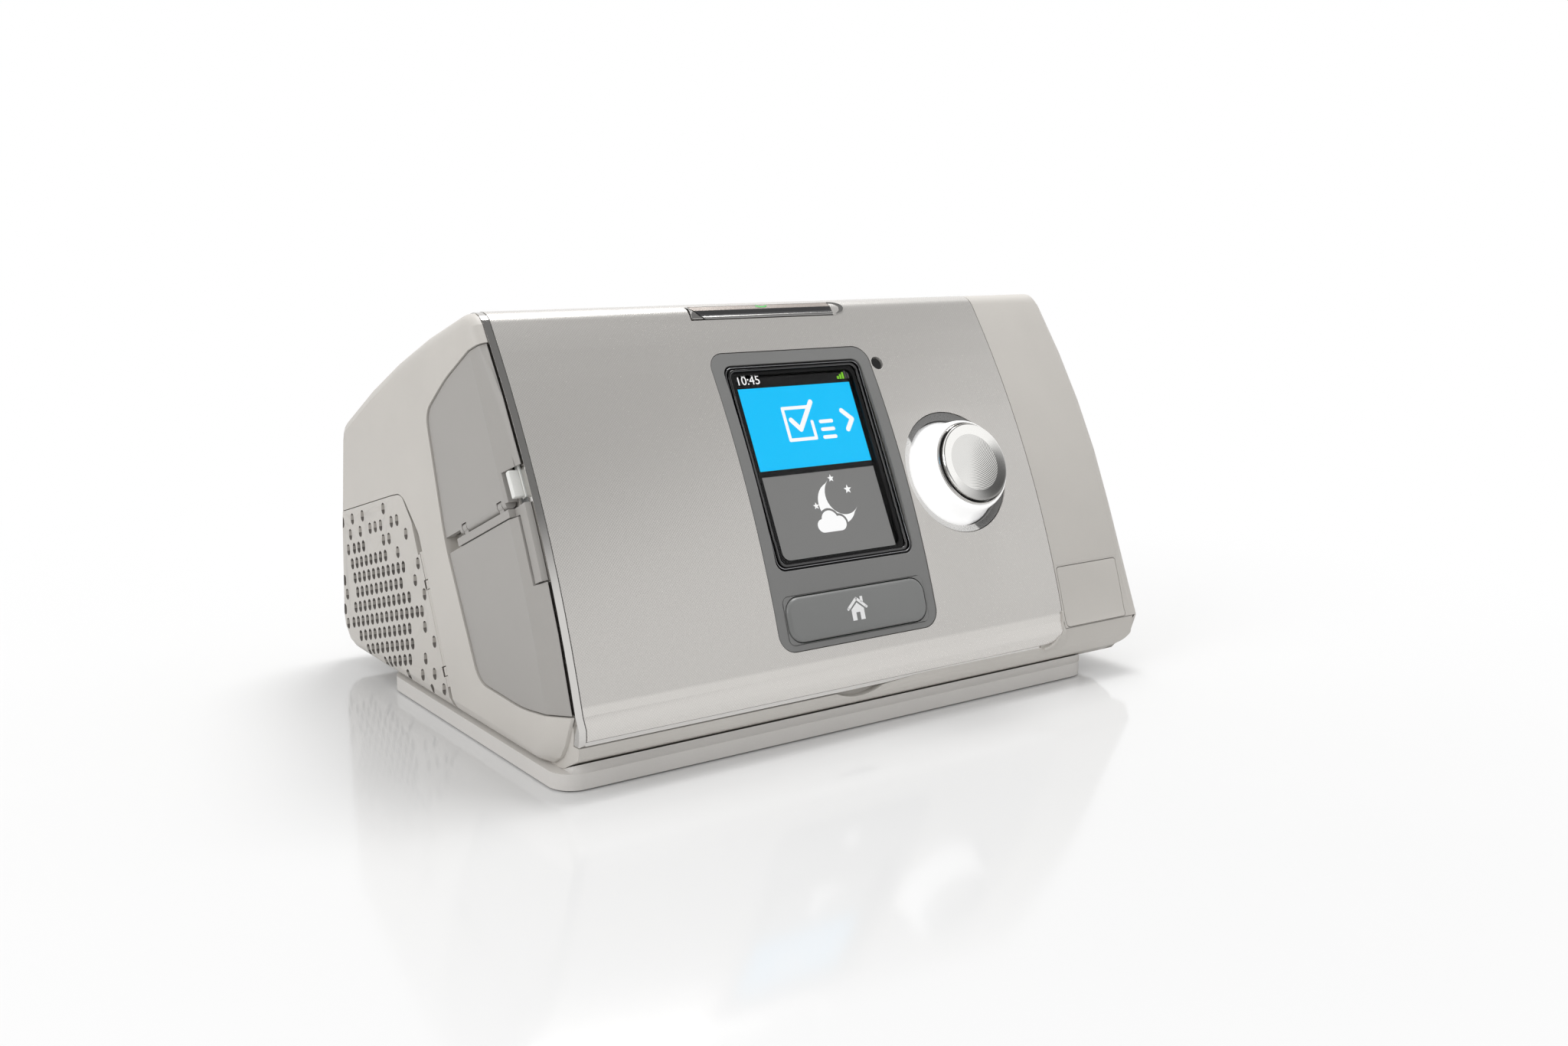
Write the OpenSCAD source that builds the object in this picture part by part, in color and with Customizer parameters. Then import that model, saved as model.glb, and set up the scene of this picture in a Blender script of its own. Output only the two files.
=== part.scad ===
// Bilevel positive airway pressure machine for the bedside table.
// Frame: X runs to the right as the user faces it, Y to the rear, Z up, and the floor is Z = 0.
// The side outline is drawn once, as a chain of tangent arcs, and every casing part is cut from it.

/* [Body] */
// Overall width
body_w = 205; // [203:1:209]
// Overall depth, from the front bar to the rear wall
body_d = 150; // [149:1:153]
// Height of the ridge above the table
body_h = 116; // [115:1:118]
// Height of the casing's underside
belly_z = 4.7; // [4.5:0.1:4.9]
// Wall of the housings
wall = 2.4; // [2.3:0.1:2.5]
// Gap between fixed casing parts
seam_gap = 0.3; // [0.25:0.05:0.35]
// Height of the joint between the two housings
split_z = 24; // [23:0.5:24.5]

/* [Side outline] */
// Radius of the ridge over the screen
ridge_r = 6.4; // [6.2:0.1:6.8]
// Radius of the gently bowed front
face_r = 305; // [295:5:330]
// Height where the front's curve ends above the lip
foot_z = 19.9; // [19.5:0.1:20.5]
// Radius of the roof's curve
roof_r = 387; // [380:5:410]
// Radius of the shoulder above the rear wall
shoulder_r = 9.6; // [9:0.2:10.4]
// Radius of the rear wall's bow
rear_r = 410; // [390:5:430]
// Radius under the rear wall
heel_r = 10.9; // [10.4:0.1:11.4]
// Height of the fascia's lower edge
lip_z = 12.7; // [12.5:0.1:13]

/* [Fascia and screen] */
// Thickness of the fascia plate
face_t = 2.4; // [2.3:0.1:2.5]
// Width of the polished edge
edge_w = 2; // [1.8:0.1:2.2]
// X of the seam between the fascia and the side cover
seam_x = 72; // [71.5:0.5:72.5]
// Width of the screen's surround
bezel_w = 56.4; // [56:0.2:57]
// Height of the screen's surround, up the front
bezel_h = 86.4; // [86:0.2:87]
// Width of the screen's glass
glass_w = 48.6; // [48:0.2:49]
// Height of the screen's glass
glass_h = 60.2; // [59.6:0.2:60.6]
// Width of the home key
home_w = 49.4; // [48:0.2:50]
// Height of the home key
home_h = 12.8; // [12:0.2:13]
// Length of the start key along the ridge
start_w = 50; // [48:0.5:51]
// Width of the start key across the ridge
start_h = 4.6; // [4.2:0.1:4.8]

/* [Dial] */
// Radius of the round recess in the fascia
well_r = 19; // [18.8:0.1:19.4]
// Radius of the dial's skirt
skirt_r = 16.4; // [16:0.1:16.6]
// Radius of the dial's metal cap
cap_r = 12; // [11.7:0.1:12.2]
// Height of the cap's face above the fascia
cap_h = 9.3; // [9:0.1:9.8]
// Radius of the cap's dish
dish_r = 8.5; // [8:0.1:9]
// Depth of the cap's dish
dish_depth = 1.1; // [0.8:0.1:1.3]

/* [Left side] */
// Thickness of the side panel
panel_t = 4; // [3.9:0.1:4.1]
// Thickness of the skin of the covers
cover_t = 1.6; // [1.5:0.05:1.7]
// Step of the card and adapter covers below the panel's face
cover_step = 0.5; // [0.4:0.05:0.6]
// Gap around each cover
cover_gap = 0.3; // [0.25:0.05:0.35]
// Radius of the covers' hinge barrels
hinge_r = 1.5; // [1.4:0.05:1.5]
// Radius of the hinge pins
pin_r = 0.7; // [0.6:0.05:0.8]
// Width of the grille's slots
slot_w = 2.4; // [2:0.1:2.6]
// Length of the grille's slots
slot_h = 3.5; // [3:0.1:3.7]
// Distance between slots along a row
slot_pitch = 3.94; // [3.86:0.02:4]
// Distance between the grille's rows
row_pitch = 4.7; // [4.5:0.02:4.8]

/* [Memory card] */
// Length of the card
card_l = 32; // [31:0.5:32.5]
// Width of the card
card_w = 24; // [23:0.5:24]
// Thickness of the card
card_t = 2.1; // [1.9:0.1:2.1]

/* [Base] */
// Width of the base at the table
base_w = 185; // [184:1:186]
// Depth of the base at the table
base_d = 107.5; // [106:0.5:109]
// Corner radius of the base
base_r = 7; // [6:0.5:8]
// Radius of a rubber foot
foot_r = 6; // [5.5:0.5:6.5]

/* [Air path] */
// Outer radius of the air outlet, a standard 22 mm connection
outlet_r = 11; // [11:0.5:11]
// Bore radius of the air outlet and the ducts
duct_bore = 9; // [8.6:0.1:9.2]
// Radius of the blower's casing
volute_r = 34; // [33:0.5:35]
// Radius of the impeller
impeller_r = 25; // [24:0.5:26]
// Number of impeller blades
blades = 11; // [9:1:13]

/* [Hidden] */

$fn = 48;
eps = 0.01;
fit = 0.05;
half_w = body_w / 2;
front_y = -body_d / 2;
rear_y = body_d / 2;
panel_x = -half_w + panel_t;
cap_x = half_w - 4.3;

// Centres of the outline's small arcs, and the point where the front's scale starts.
foot = [front_y + 4.1, foot_z];
crown = [front_y + 49, body_h - 5.4];
ridge = [front_y + 56.2, body_h - ridge_r];
shoulder = [rear_y - 14.2, body_h - 46.1];
heel = [rear_y - heel_r, belly_z + heel_r];
belly_r = 9;
belly = [front_y + 13.3, belly_z + belly_r];
toe_r = 2;
toe = [front_y + toe_r, belly_z + 6.2];
panel_toe_r = 11.5;
panel_toe = [front_y + 18, belly_z + panel_toe_r];

function polar(c, r, a) = c + r * [cos(a), sin(a)];
function ang(v) = atan2(v[1], v[0]);
function arc(c, r, a0, a1, count) = let (n = ceil(count)) [for (i = [0 : n]) polar(c, r, a0 + (a1 - a0) * i / n)];
function flip(list) = [for (i = [len(list) - 1 : -1 : 0]) list[i]];
// Where the circles of radius r1 about p and r2 about q cross, to the right as one looks from p to q.
function crossing(p, r1, q, r2) =
    let (d = norm(q - p), u = (q - p) / d, a = (r1 * r1 - r2 * r2 + d * d) / (2 * d), h = sqrt(r1 * r1 - a * a))
    p + a * u + h * [u[1], -u[0]];
// Centre of the circle of radius r that holds circles (p, rp) and (q, rq) inside and touches both.
function holder(p, rp, q, rq, r) = crossing(p, r - rp, q, r - rq);

face_c = holder(foot, 0, ridge, ridge_r, face_r);
roof_c = holder(ridge, ridge_r, shoulder, shoulder_r, roof_r);
rear_c = holder(shoulder, shoulder_r, heel, heel_r, rear_r);
a_foot = ang(foot - face_c);
a_crown = ang(crown - face_c);
a_face = ang(ridge - face_c);
a_roof = ang(ridge - roof_c);
a_shoulder = ang(shoulder - roof_c);
a_rear = ang(shoulder - rear_c);
a_heel = ang(heel - rear_c);
a_chamfer = 246.7;
// The fascia wraps over the ridge and ends on the roof.
wrap_y = ridge[0] + 16.8;
a_wrap = acos((wrap_y - roof_c[0]) / roof_r);

// The run over the front and the ridge, drawn in by d, with n the fineness of its arcs.
function front_run(d, n = 1) = concat(
    arc(face_c, face_r - d, a_foot, a_face, 12 * n),
    arc(ridge, ridge_r - d, a_face, a_roof, 6 * n));
// The run down the rear, drawn in by d, from angle a on the roof.
function rear_run(d, a, n = 1) = concat(
    arc(roof_c, roof_r - d, a, a_shoulder, 8 * n),
    arc(shoulder, shoulder_r - d, a_shoulder, a_rear, 5 * n),
    arc(rear_c, rear_r - d, a_rear, a_heel, 4 * n),
    arc(heel, heel_r - d, a_heel, -90, 6 * n));
function lip(d) = [[front_y + 2.7 + d, lip_z], [front_y + 2.4 + d, lip_z + 2.2], [front_y + 2.5 + d, lip_z + 4.2]];
// The fascia's line from its lip to where it ends on the roof, drawn in by d.
function fascia_line(d) = concat(lip(d), front_run(d), arc(roof_c, roof_r - d, a_roof, a_wrap, 3));
// A band of the fascia's line, from d0 to d1 behind its face.
function fascia_band(d0, d1) = concat(fascia_line(d0), flip(fascia_line(d1)));
// The side cover's outline, drawn in by d; its front flares out to meet the tray.
function flare(d) = [[front_y + 0.4 + d, lip_z], [front_y + 1.7 + d, lip_z + 2.2], [front_y + 2.5 + d, lip_z + 4.2]];
function skin(d, n = 1) = concat(flare(d), front_run(d, n), rear_run(d, a_roof, n));
// The side panel's outline, drawn in by d, with its front drawn in by f more.
function panel_line(d, f) = concat(
    arc(face_c, face_r - d - f, a_foot, a_face, 5),
    arc(ridge, ridge_r - d, a_face, a_roof, 3),
    rear_run(d, a_roof, 0.5),
    arc(panel_toe + [f / 2, 0], panel_toe_r - d, 270, 180, 4));
// The inside of the side panel, drawn in by d, with its front drawn in by f more.
function panel_inside(d, f) =
    let (m = crossing(face_c, face_r - d - f, roof_c, roof_r - d))
    concat(arc(face_c, face_r - d - f, a_foot, ang(m - face_c), 5),
    rear_run(d, ang(m - roof_c), 0.5),
    arc(panel_toe, panel_toe_r - d, 270, 180, 4));
// The housings' outline, drawn in by d, with the step that the fascia lies in.
function housing(d) =
    let (s = fascia_line(face_t + seam_gap + d), z0 = lip_z - seam_gap - d)
    concat([[s[0][0], z0]], [for (i = [1 : len(s) - 1]) s[i]],
    rear_run(d, a_wrap - 0.05 - asin(d / roof_r)),
    arc(belly, belly_r - d, 270, a_chamfer, 3),
    d < toe_r ? arc(toe, toe_r - d, a_chamfer, 180 - asin((z0 - toe[1]) / (toe_r - d)), 6) : []);

function face_angle(t) = a_crown + t / face_r * 180 / PI;
function face_point(t, d = 0) = polar(face_c, face_r + d, face_angle(t));
// A strip along the front from t0 to t1, d0 to d1 behind its face.
function strip(t0, t1, d0, d1) = concat(
    [for (i = [0 : 6]) face_point(t0 + (t1 - t0) * i / 6, -d0)],
    [for (i = [6 : -1 : 0]) face_point(t0 + (t1 - t0) * i / 6, -d1)]);

// Places drawn on the front: X to the right, Y up the slope, Z outward, at t down the slope.
module on_face(x, t) {
    p = face_point(t);
    translate([x, p[0], p[1]]) rotate([face_angle(t) - 90, 0, 0]) children();
}

// Places on the ridge: Z outward through the start key.
module on_ridge(x) {
    translate([x, ridge[0], ridge[1]]) rotate([start_a - 90, 0, 0]) children();
}

// Places drawn on the line from p to q of the side: Z along the line, Y off it, at distance x.
module on_line(p, q, x) {
    translate([x, p[0], p[1]]) rotate([ang(q - p) - 90, 0, 0]) children();
}

// Extrudes a drawing of the side (Y, Z) from x0 to x1.
module across(x0, x1) {
    translate([x0, 0, 0]) rotate([90, 0, 90]) linear_extrude(x1 - x0) children();
}

module rrect(w, h, r) {
    square([w - 2 * r, h], center = true);
    square([w, h - 2 * r], center = true);
    for (sx = [-1, 1], sy = [-1, 1]) translate([sx * (w / 2 - r), sy * (h / 2 - r)]) circle(r);
}

module rbox(w, h, r, z0, z1) {
    translate([0, 0, z0]) linear_extrude(z1 - z0) rrect(w, h, r);
}

module box(lo, hi) {
    translate(lo) cube(hi - lo);
}

module tube(ro, ri, h) {
    difference() {
        cylinder(r = ro, h = h);
        translate([0, 0, -1]) cylinder(r = ri, h = h + 2);
    }
}

// An area of the side whose corners are given as [y, z, r], with each corner rounded by r.
function corner(a, b, c) =
    let (u = (a - b) / norm(a - b), v = (c - b) / norm(c - b))
    [u, v, acos(u * v) / 2, (u + v) / norm(u + v)];
function yz(p) = [p[0], p[1]];
function turn(a) = ((a + 540) % 360) - 180;
function rounded(pts) = [for (i = [0 : len(pts) - 1])
    let (n = len(pts), b = yz(pts[i]), r = pts[i][2])
    let (k = corner(yz(pts[(i + n - 1) % n]), b, yz(pts[(i + 1) % n])))
    let (o = b + k[3] * r / sin(k[2]), s = b + k[0] * r / tan(k[2]), e = b + k[1] * r / tan(k[2]))
    for (j = [0 : (r > 0 ? 6 : 0)]) r > 0 ? polar(o, r, ang(s - o) + turn(ang(e - o) - ang(s - o)) * j / 6) : b];
// The same area drawn in by g; its corners run clockwise as seen with Y to the right.
function drawn_in(pts, g) = [for (i = [0 : len(pts) - 1])
    let (n = len(pts), b = yz(pts[i]), a = yz(pts[(i + n - 1) % n]), c = yz(pts[(i + 1) % n]))
    let (u = (b - a) / norm(b - a), v = (c - b) / norm(c - b), nu = [u[1], -u[0]], nv = [v[1], -v[0]])
    let (m = b + g * (nu + nv) / (1 + nu * nv), bend = u[0] * v[1] - u[1] * v[0])
    [m[0], m[1], pts[i][2] > 0 ? max(pts[i][2] + (bend > 0 ? g : -g), 0.2) : 0]];

// Places on the front, measured down the slope from its crown.
face_mid_t = 52.4;
screen_x = -6;
glass_t = 43.3;
home_t = 87.3;
dial_x = screen_x + bezel_w / 2 + 0.7 + well_r;
dial_t = 51.4;
sensor_x = screen_x + bezel_w / 2 + 2.6;
sensor_t = 15;
board_z = -11;
board_x = -22;
board_w = 142;
post_clear = 8.5;
post_low = face_mid_t - (180 - asin((split_z + post_clear - face_c[1]) / face_r) - a_crown) * PI / 180 * face_r;
posts = [[-88, 40], [-88, post_low], [44, 40], [44, post_low]];
start_x = -9.9;
start_a = 135;
switch_top = -3.6;
plate_t = 94.6;
plate_h = 18.6;
plate_x = (seam_x + cap_x) / 2;

// Openings of the left side, drawn in Y and Z, and the hinge lines of its covers.
cover_area = [[front_y + 39, 114.5, 0], [front_y + 67, 97.6, 60], [front_y + 80, 87.1, 6],
    [front_y + 69.4, 52.8, 60], [front_y + 50.2, 17.9, 8], [front_y + 25, 17.3, 60], [front_y - 8, 21.8, 0],
    [front_y - 8, 114.5, 0]];
filter_area = [[rear_y - 44.4, 59.9, 0], [rear_y + 4, 45.9, 0], [rear_y + 4, belly_z - 2, 0],
    [rear_y - 86, belly_z - 2, 0], [rear_y - 63.3, 52, 7], [rear_y - 52, 61.8, 7]];
bar_a = [front_y + 61, 53.1];
bar_b = face_point(48.033, -7.155);
bar_dir = (bar_b - bar_a) / norm(bar_b - bar_a);
bar_up = [bar_dir[1], -bar_dir[0]];
bar_h = 2.1;
rail_t = [46, 66.5];
rail_d = [1.2, 5];
lug_l = 2.4;
lug_gap = 0.3;
card_axis = bar_h + 0.4 + hinge_r;
card_axis_x = -half_w + cover_step + hinge_r;
card_barrel = [7, 20];
card_edge = [2.4, 32];
filter_a = [rear_y - 85.2, belly_z + 0.1];
filter_b = [rear_y - 63.3, 52];
filter_axis = cover_gap + hinge_r;
filter_axis_x = -half_w + hinge_r + 0.1;
filter_barrel = [14, 22];
filter_edge = [8, 47];

module card_hinge() {
    on_line(bar_a, bar_b, card_axis_x) translate([0, card_axis, 0]) children();
}

module filter_hinge() {
    on_line(filter_a, filter_b, filter_axis_x) translate([0, filter_axis, 0]) children();
}

// Two lugs that hold a hinge's pins, each on a web that reaches off the hinge line.
module lugs(span, reach) {
    for (z = [span[0] - lug_gap - lug_l, span[0] + span[1] + lug_gap]) translate([0, 0, z]) difference() {
        union() {
            cylinder(r = hinge_r, h = lug_l);
            translate([0.4 - hinge_r, -reach, 0]) cube([2 * hinge_r - 0.8, reach, lug_l]);
        }
        translate([0, 0, -1]) cylinder(r = pin_r + fit, h = lug_l + 2);
    }
}

// A cover's round hinge edge along edge[0] to edge[1], with pins through the lugs at each end of span.
module hinge_edge(span, edge) {
    difference() {
        translate([0, 0, edge[0]]) cylinder(r = hinge_r, h = edge[1] - edge[0]);
        lug_room(span);
    }
    for (z = [span[0] - 2 * lug_gap - lug_l - 0.5, span[0] + span[1] - 0.5]) translate([0, 0, z])
        cylinder(r = pin_r, h = lug_l + 2 * lug_gap + 1);
}

// Room for the lugs in a cover that turns about them.
module lug_room(span) {
    for (z = [span[0] - 2 * lug_gap - lug_l, span[0] + span[1]]) translate([0, 0, z])
        cylinder(r = hinge_r + 0.4, h = lug_l + 2 * lug_gap);
}

// The side panel's body, drawn in by d: a hull through slices, each [depth, drawn in, front drawn in more].
panel_slices = [[0, 4, 4], [0.8, 1.9, 4.4], [1.8, 0.95, 2.7], [3, 0.45, 0.1], [4, 0.3, 0.2]];
module wing(d) {
    hull() for (s = panel_slices) across(-half_w + s[0] * panel_t / 4 - eps, -half_w + s[0] * panel_t / 4)
        polygon(panel_line(s[1] + d, s[2]));
}

// A cover's body inside an area of the panel: a skin with a rim, step below the panel's face.
module cover_body(area, step, rim) {
    difference() {
        intersection() {
            translate([step, 0, 0]) wing(step / 2);
            across(-half_w - 1, panel_x - 0.3) polygon(rounded(drawn_in(area, cover_gap)));
        }
        across(-half_w + step + cover_t, panel_x) intersection() {
            polygon(rounded(drawn_in(area, cover_gap + rim)));
            polygon(panel_inside(4 + rim, 5));
        }
    }
}

boss_r = 4;
end_r = 10;
corner_r = 10;
boss_at = [[panel_x + 6.1, front_y + 53], [seam_x - 17, front_y + 18], [-24, rear_y - 14], [8, rear_y - 14]];
blower_x = -16;
blower_y = rear_y - 73;
post_h = 2;
screw_r = 1.4;
notch_d = 1.9;
notch_r = 18.6;

// Ports of the housings' left wall: filter, adapter socket, the adapter cover's clips and the card.
port_lo = [rear_y - 60, 12];
port_hi = [rear_y - 14, 43];
socket_at = [front_y + 36, 38];
clip_at = [[front_y + 46, 49], [front_y + 38, 27]];
card_t0 = 32;
card_depth = 4.3;
card_end_x = panel_x - 0.1;
reader_l = card_l + 3;

module side_ports() {
    box([panel_x - 1, port_lo[0], port_lo[1]], [panel_x + wall + 1, port_hi[0], port_hi[1]]);
    translate([panel_x, socket_at[0], socket_at[1]]) cube([2 * wall + 2, 20.4, 10.4], center = true);
    for (p = clip_at) translate([panel_x, p[0], p[1]]) cube([2 * wall + 2, 5, 3], center = true);
    on_face(panel_x - 1 + (reader_l + 2) / 2, card_t0) translate([0, 0, -card_depth - 0.6])
        cube([reader_l + 2, card_w + 3, 5], center = true);
}

// Centre of the card, which lies behind the fascia's curve.
module card_place() {
    on_face(card_end_x + card_l / 2, card_t0) translate([0, 0, -card_depth]) children();
}

// One housing's shell between heights z0 and z1.
module shell(z0, z1) {
    intersection() {
        difference() {
            across(panel_x, seam_x) polygon(housing(0));
            across(panel_x + wall, seam_x + 1) polygon(housing(wall));
        }
        box([-half_w, front_y - 1, z0], [half_w, rear_y + 1, z1]);
    }
}

// The rounded outline of the right end, seen from the front.
module right_end() {
    translate([0, rear_y + 1, 0]) rotate([90, 0, 0]) linear_extrude(body_d + 2) polygon(rounded(
        [[0, body_h + 1, 0], [half_w, body_h + 1, 0], [half_w, belly_z, end_r], [0, belly_z - 1, 0]]));
}

// What the round corner of the fascia leaves free, g clear of it.
module fascia_corner(g) {
    translate([seam_x - corner_r, front_y + 8, lip_z - 0.2]) rotate([90, 0, 0]) linear_extrude(10) difference() {
        translate([0, -0.3]) square([corner_r + 1, corner_r + 0.5]);
        translate([0, corner_r + 0.2]) circle(r = corner_r + g, $fn = 96);
    }
}

module power_cut() {
    translate([clip_x, rear_y, power_z]) rotate([90, 0, 0]) rbox(19, 14, 3, -6, 12);
}

module lower_housing() {
    color([0.78, 0.77, 0.75]) difference() {
        union() {
            shell(0, split_z);
            // the tray goes on below the side cover
            intersection() {
                across(seam_x - 1, half_w) polygon(housing(0));
                box([0, front_y - 1, 0], [half_w, rear_y + 1, lip_z - seam_gap]);
                right_end();
                translate([0, 0, -1]) linear_extrude(body_h) polygon(rounded([[0, front_y - 1, 0],
                    [half_w, front_y - 0.2, end_r / 2], [half_w, rear_y, end_r / 2], [0, rear_y + 1, 0]]));
            }
            // beside the fascia's round corner
            intersection() {
                across(seam_x - corner_r - 2, seam_x) polygon(fascia_band(0.1, face_t + seam_gap + 0.1));
                fascia_corner(seam_gap);
            }
            for (p = boss_at) translate([p[0], p[1], belly_z + 0.1]) cylinder(r = boss_r, h = split_z - belly_z - 0.2);
            for (a = [45 : 90 : 315]) translate([blower_x, blower_y, belly_z + eps]) rotate([0, 0, a])
                translate([volute_r - 7, 0, 0]) cylinder(r = 3, h = wall + post_h);
        }
        for (p = boss_at) translate([p[0], p[1], 0]) {
            cylinder(r = screw_r + 0.3, h = split_z + 1);
            cylinder(r = 3.2, h = belly_z + 1.6);
        }
        box([seam_x + 4, front_y + 12, belly_z + wall], [half_w - 6, rear_y - 12, lip_z + 1]);
        side_ports();
        power_cut();
        // thumb notch under the fascia's edge
        translate([screen_x - 3.4, front_y - 1, lip_z - seam_gap - notch_d + notch_r]) rotate([-90, 0, 0])
            cylinder(r = notch_r, h = 6);
    }
}

base_y = front_y + 5.5;
base_x = -half_w + 0.6;
foot_at = [for (sx = [14, base_w - 14], sy = [12, base_d - 12]) [base_x + sx, base_y + sy]];

// Pockets that lighten the underside, in columns and rows between the feet.
cell = [28.4, 28];
cell_rib = 1.6;

module base_skirt() {
    top = belly_z - 0.03;
    nose = arc(belly, belly_r + 0.06, a_chamfer, 262, 3);
    nose_y = base_y + 0.1;
    color([0.62, 0.6, 0.58]) difference() {
        union() {
            translate([base_x + base_w / 2, base_y + base_d / 2, 0]) rbox(base_w, base_d, base_r, 0.4, top);
            // the front rises to meet the sloping underside
            intersection() {
                across(panel_x + 0.2, half_w) polygon([[nose_y, top - 1],
                    [nose_y, nose[0][1] - (nose_y - nose[0][0]) / tan(a_chamfer)], each nose, [nose[3][0], top - 1]]);
                translate([base_x + base_w / 2, base_y + base_d / 2, 0]) rbox(base_w - 0.2, base_d, base_r, 1, lip_z);
            }
        }
        for (i = [0 : 4], j = [0 : 2]) translate([base_x + 22 + i * cell[0], base_y + 19.5 + j * cell[1], -1])
            cube([cell[0] - cell_rib, cell[1] - cell_rib, belly_z - 0.6]);
        for (p = foot_at) translate([p[0], p[1], -1]) cylinder(r = foot_r, h = 2.2);
        for (p = boss_at) translate([p[0], p[1], -1]) cylinder(r = 3.4, h = belly_z + 2);
    }
}

module rubber_feet() {
    color([0.25, 0.25, 0.25]) for (p = foot_at) translate([p[0], p[1], 0]) cylinder(r = foot_r - 0.1, h = 1.2);
}

module housing_screws() {
    color("silver") for (p = boss_at) translate([p[0], p[1], belly_z + 0.1]) difference() {
        union() {
            cylinder(r = 2.9, h = 1.5);
            cylinder(r = screw_r, h = split_z - belly_z + 7);
        }
        translate([0, 0, -1]) cylinder(r = 1.3, h = 1.8, $fn = 6);
    }
}

duct_r = outlet_r - 0.5;
outlet_x = 36;
outlet_z = 46;
pocket_w = 34;
pocket_d = 22;
clip_x = -46;
power_z = 21;
clip_lo = [clip_x - 12, rear_y - 5.5, power_z + 8.6];
clip_hi = [clip_x + 12, rear_y + 1, power_z + 27];
clip_pin = [rear_y - 2.9, clip_lo[2] + 2.4];

// What the upper housing carries inside: recesses, bosses, board posts and the key board's brackets.
module upper_inside() {
    box(clip_lo - [1.6, 1.6, 1.6], clip_hi + [1.6, 0, 1.6]);
    for (p = boss_at) translate([p[0], p[1], split_z + 0.1]) {
        cylinder(r = boss_r, h = 13);
        if (p[1] > 0) translate([-1.2, 0, 0]) cube([2.4, 14, 13]);
        if (p[1] < front_y + 30) translate([-1.2, -14, 0]) cube([2.4, 14, 13]);
    }
    for (p = posts) on_face(0, face_mid_t) translate([p[0], p[1], board_z]) cylinder(r = 2.6, h = 9);
    for (s = [-1, 1]) on_ridge(start_x + s * 29) translate([-1.5, -2.5, switch_top + 0.02])
        cube([3, 5, 2.5 - switch_top]);
}

module upper_housing() {
    color([0.78, 0.77, 0.75]) difference() {
        union() {
            shell(split_z + eps, body_h + 1);
            intersection() {
                upper_inside();
                across(panel_x + 1, seam_x - 1) polygon(housing(wall / 2));
            }
        }
        // windows for the screen, the keys, the sensor and the dial
        on_face(screen_x, glass_t) rbox(glass_w - 3, glass_h - 3, 2, -20, 5);
        on_face(screen_x, home_t) rbox(home_w + 2.6, home_h + 2.6, 2, -12, 5);
        on_face(sensor_x, sensor_t) translate([0, 0, -20]) cylinder(r = 2.6, h = 25);
        on_face(dial_x, dial_t) translate([0, 0, -20]) cylinder(r = well_r - fit, h = 25);
        start_slot(2, 0.2);
        for (p = boss_at) translate([p[0], p[1], split_z - 1]) cylinder(r = screw_r + fit, h = 12);
        for (p = posts) on_face(0, face_mid_t) translate([p[0], p[1], board_z - 1]) cylinder(r = 1.05, h = 5);
        translate([outlet_x, rear_y + 2, outlet_z]) rotate([90, 0, 0]) rbox(pocket_w, pocket_w, 6, 0, pocket_d + 2);
        box(clip_lo, clip_hi);
        translate([clip_x, clip_pin[0], clip_pin[1]]) rotate([0, 90, 0]) cylinder(r = pin_r + fit, h = 26, center = true);
        side_ports();
        power_cut();
    }
}

// Square tub behind the rear wall's opening, which the air outlet stands in.
module outlet_pocket() {
    color([0.78, 0.77, 0.75]) difference() {
        intersection() {
            box([outlet_x - pocket_w / 2 - wall, rear_y - pocket_d - wall, outlet_z - pocket_w / 2 - wall],
                [outlet_x + pocket_w / 2 + wall, rear_y, outlet_z + pocket_w / 2 + wall]);
            across(0, seam_x) polygon(housing(wall + fit));
        }
        translate([outlet_x, rear_y + 2, outlet_z]) rotate([90, 0, 0]) rbox(pocket_w, pocket_w, 6, 0, pocket_d + 2);
        translate([outlet_x, rear_y - pocket_d - 5, outlet_z]) rotate([-90, 0, 0]) cylinder(r = duct_r + fit, h = 10);
    }
}

bay_y = [blower_y - 20, rear_y - 45];
bulk_x = seam_x - 11;
module bay_bulkhead() {
    color([0.5, 0.5, 0.5]) difference() {
        across(bulk_x, bulk_x + wall) polygon(housing(wall + 0.1));
        for (y = bay_y) translate([bulk_x - 1, y, outlet_z]) rotate([0, 90, 0]) cylinder(r = outlet_r + 1.5, h = 6);
    }
}

module side_panel() {
    color([0.78, 0.77, 0.75]) {
        difference() {
            wing(0);
            across(-half_w - 1, panel_x + 1) polygon(rounded(cover_area));
            across(-half_w - 1, panel_x + 1) polygon(rounded(filter_area));
            // ribbed inside
            across(-half_w + 2, panel_x + 1) difference() {
                polygon(panel_inside(9, 4));
                for (z = [14 : 12 : 98]) translate([front_y, z]) square([body_d, 1.4]);
                polygon(rounded(drawn_in(cover_area, -2)));
                polygon(rounded(drawn_in(filter_area, -2)));
            }
        }
        filter_hinge() lugs(filter_barrel, filter_axis + 1);
    }
}

// Strip between the two covers, its front rail, and the lugs that hold the card cover's pins.
module cover_bar() {
    tip = bar_b + 5 * bar_dir;
    color([0.8, 0.79, 0.77]) {
        across(-half_w + 0.3, panel_x) polygon([bar_a, bar_b, bar_b + bar_h * bar_up, bar_a + bar_h * bar_up]);
        across(-half_w + 2.2, panel_x) polygon([bar_b, tip, tip + bar_h * bar_up, bar_b + bar_h * bar_up]);
        across(-half_w + 2.2, panel_x) polygon(strip(rail_t[0], rail_t[1], rail_d[0], rail_d[1]));
        card_hinge() lugs(card_barrel, card_axis - bar_h + 0.5);
    }
}

// Slot for the start key, g wider than the key all round, from z0 outward.
module start_slot(g, z0) {
    on_ridge(start_x) translate([-start_w / 2 - g, -start_h / 2 - g, z0])
        cube([start_w + 2 * g, start_h + 2 * g, ridge_r + 4 - z0]);
}

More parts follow.
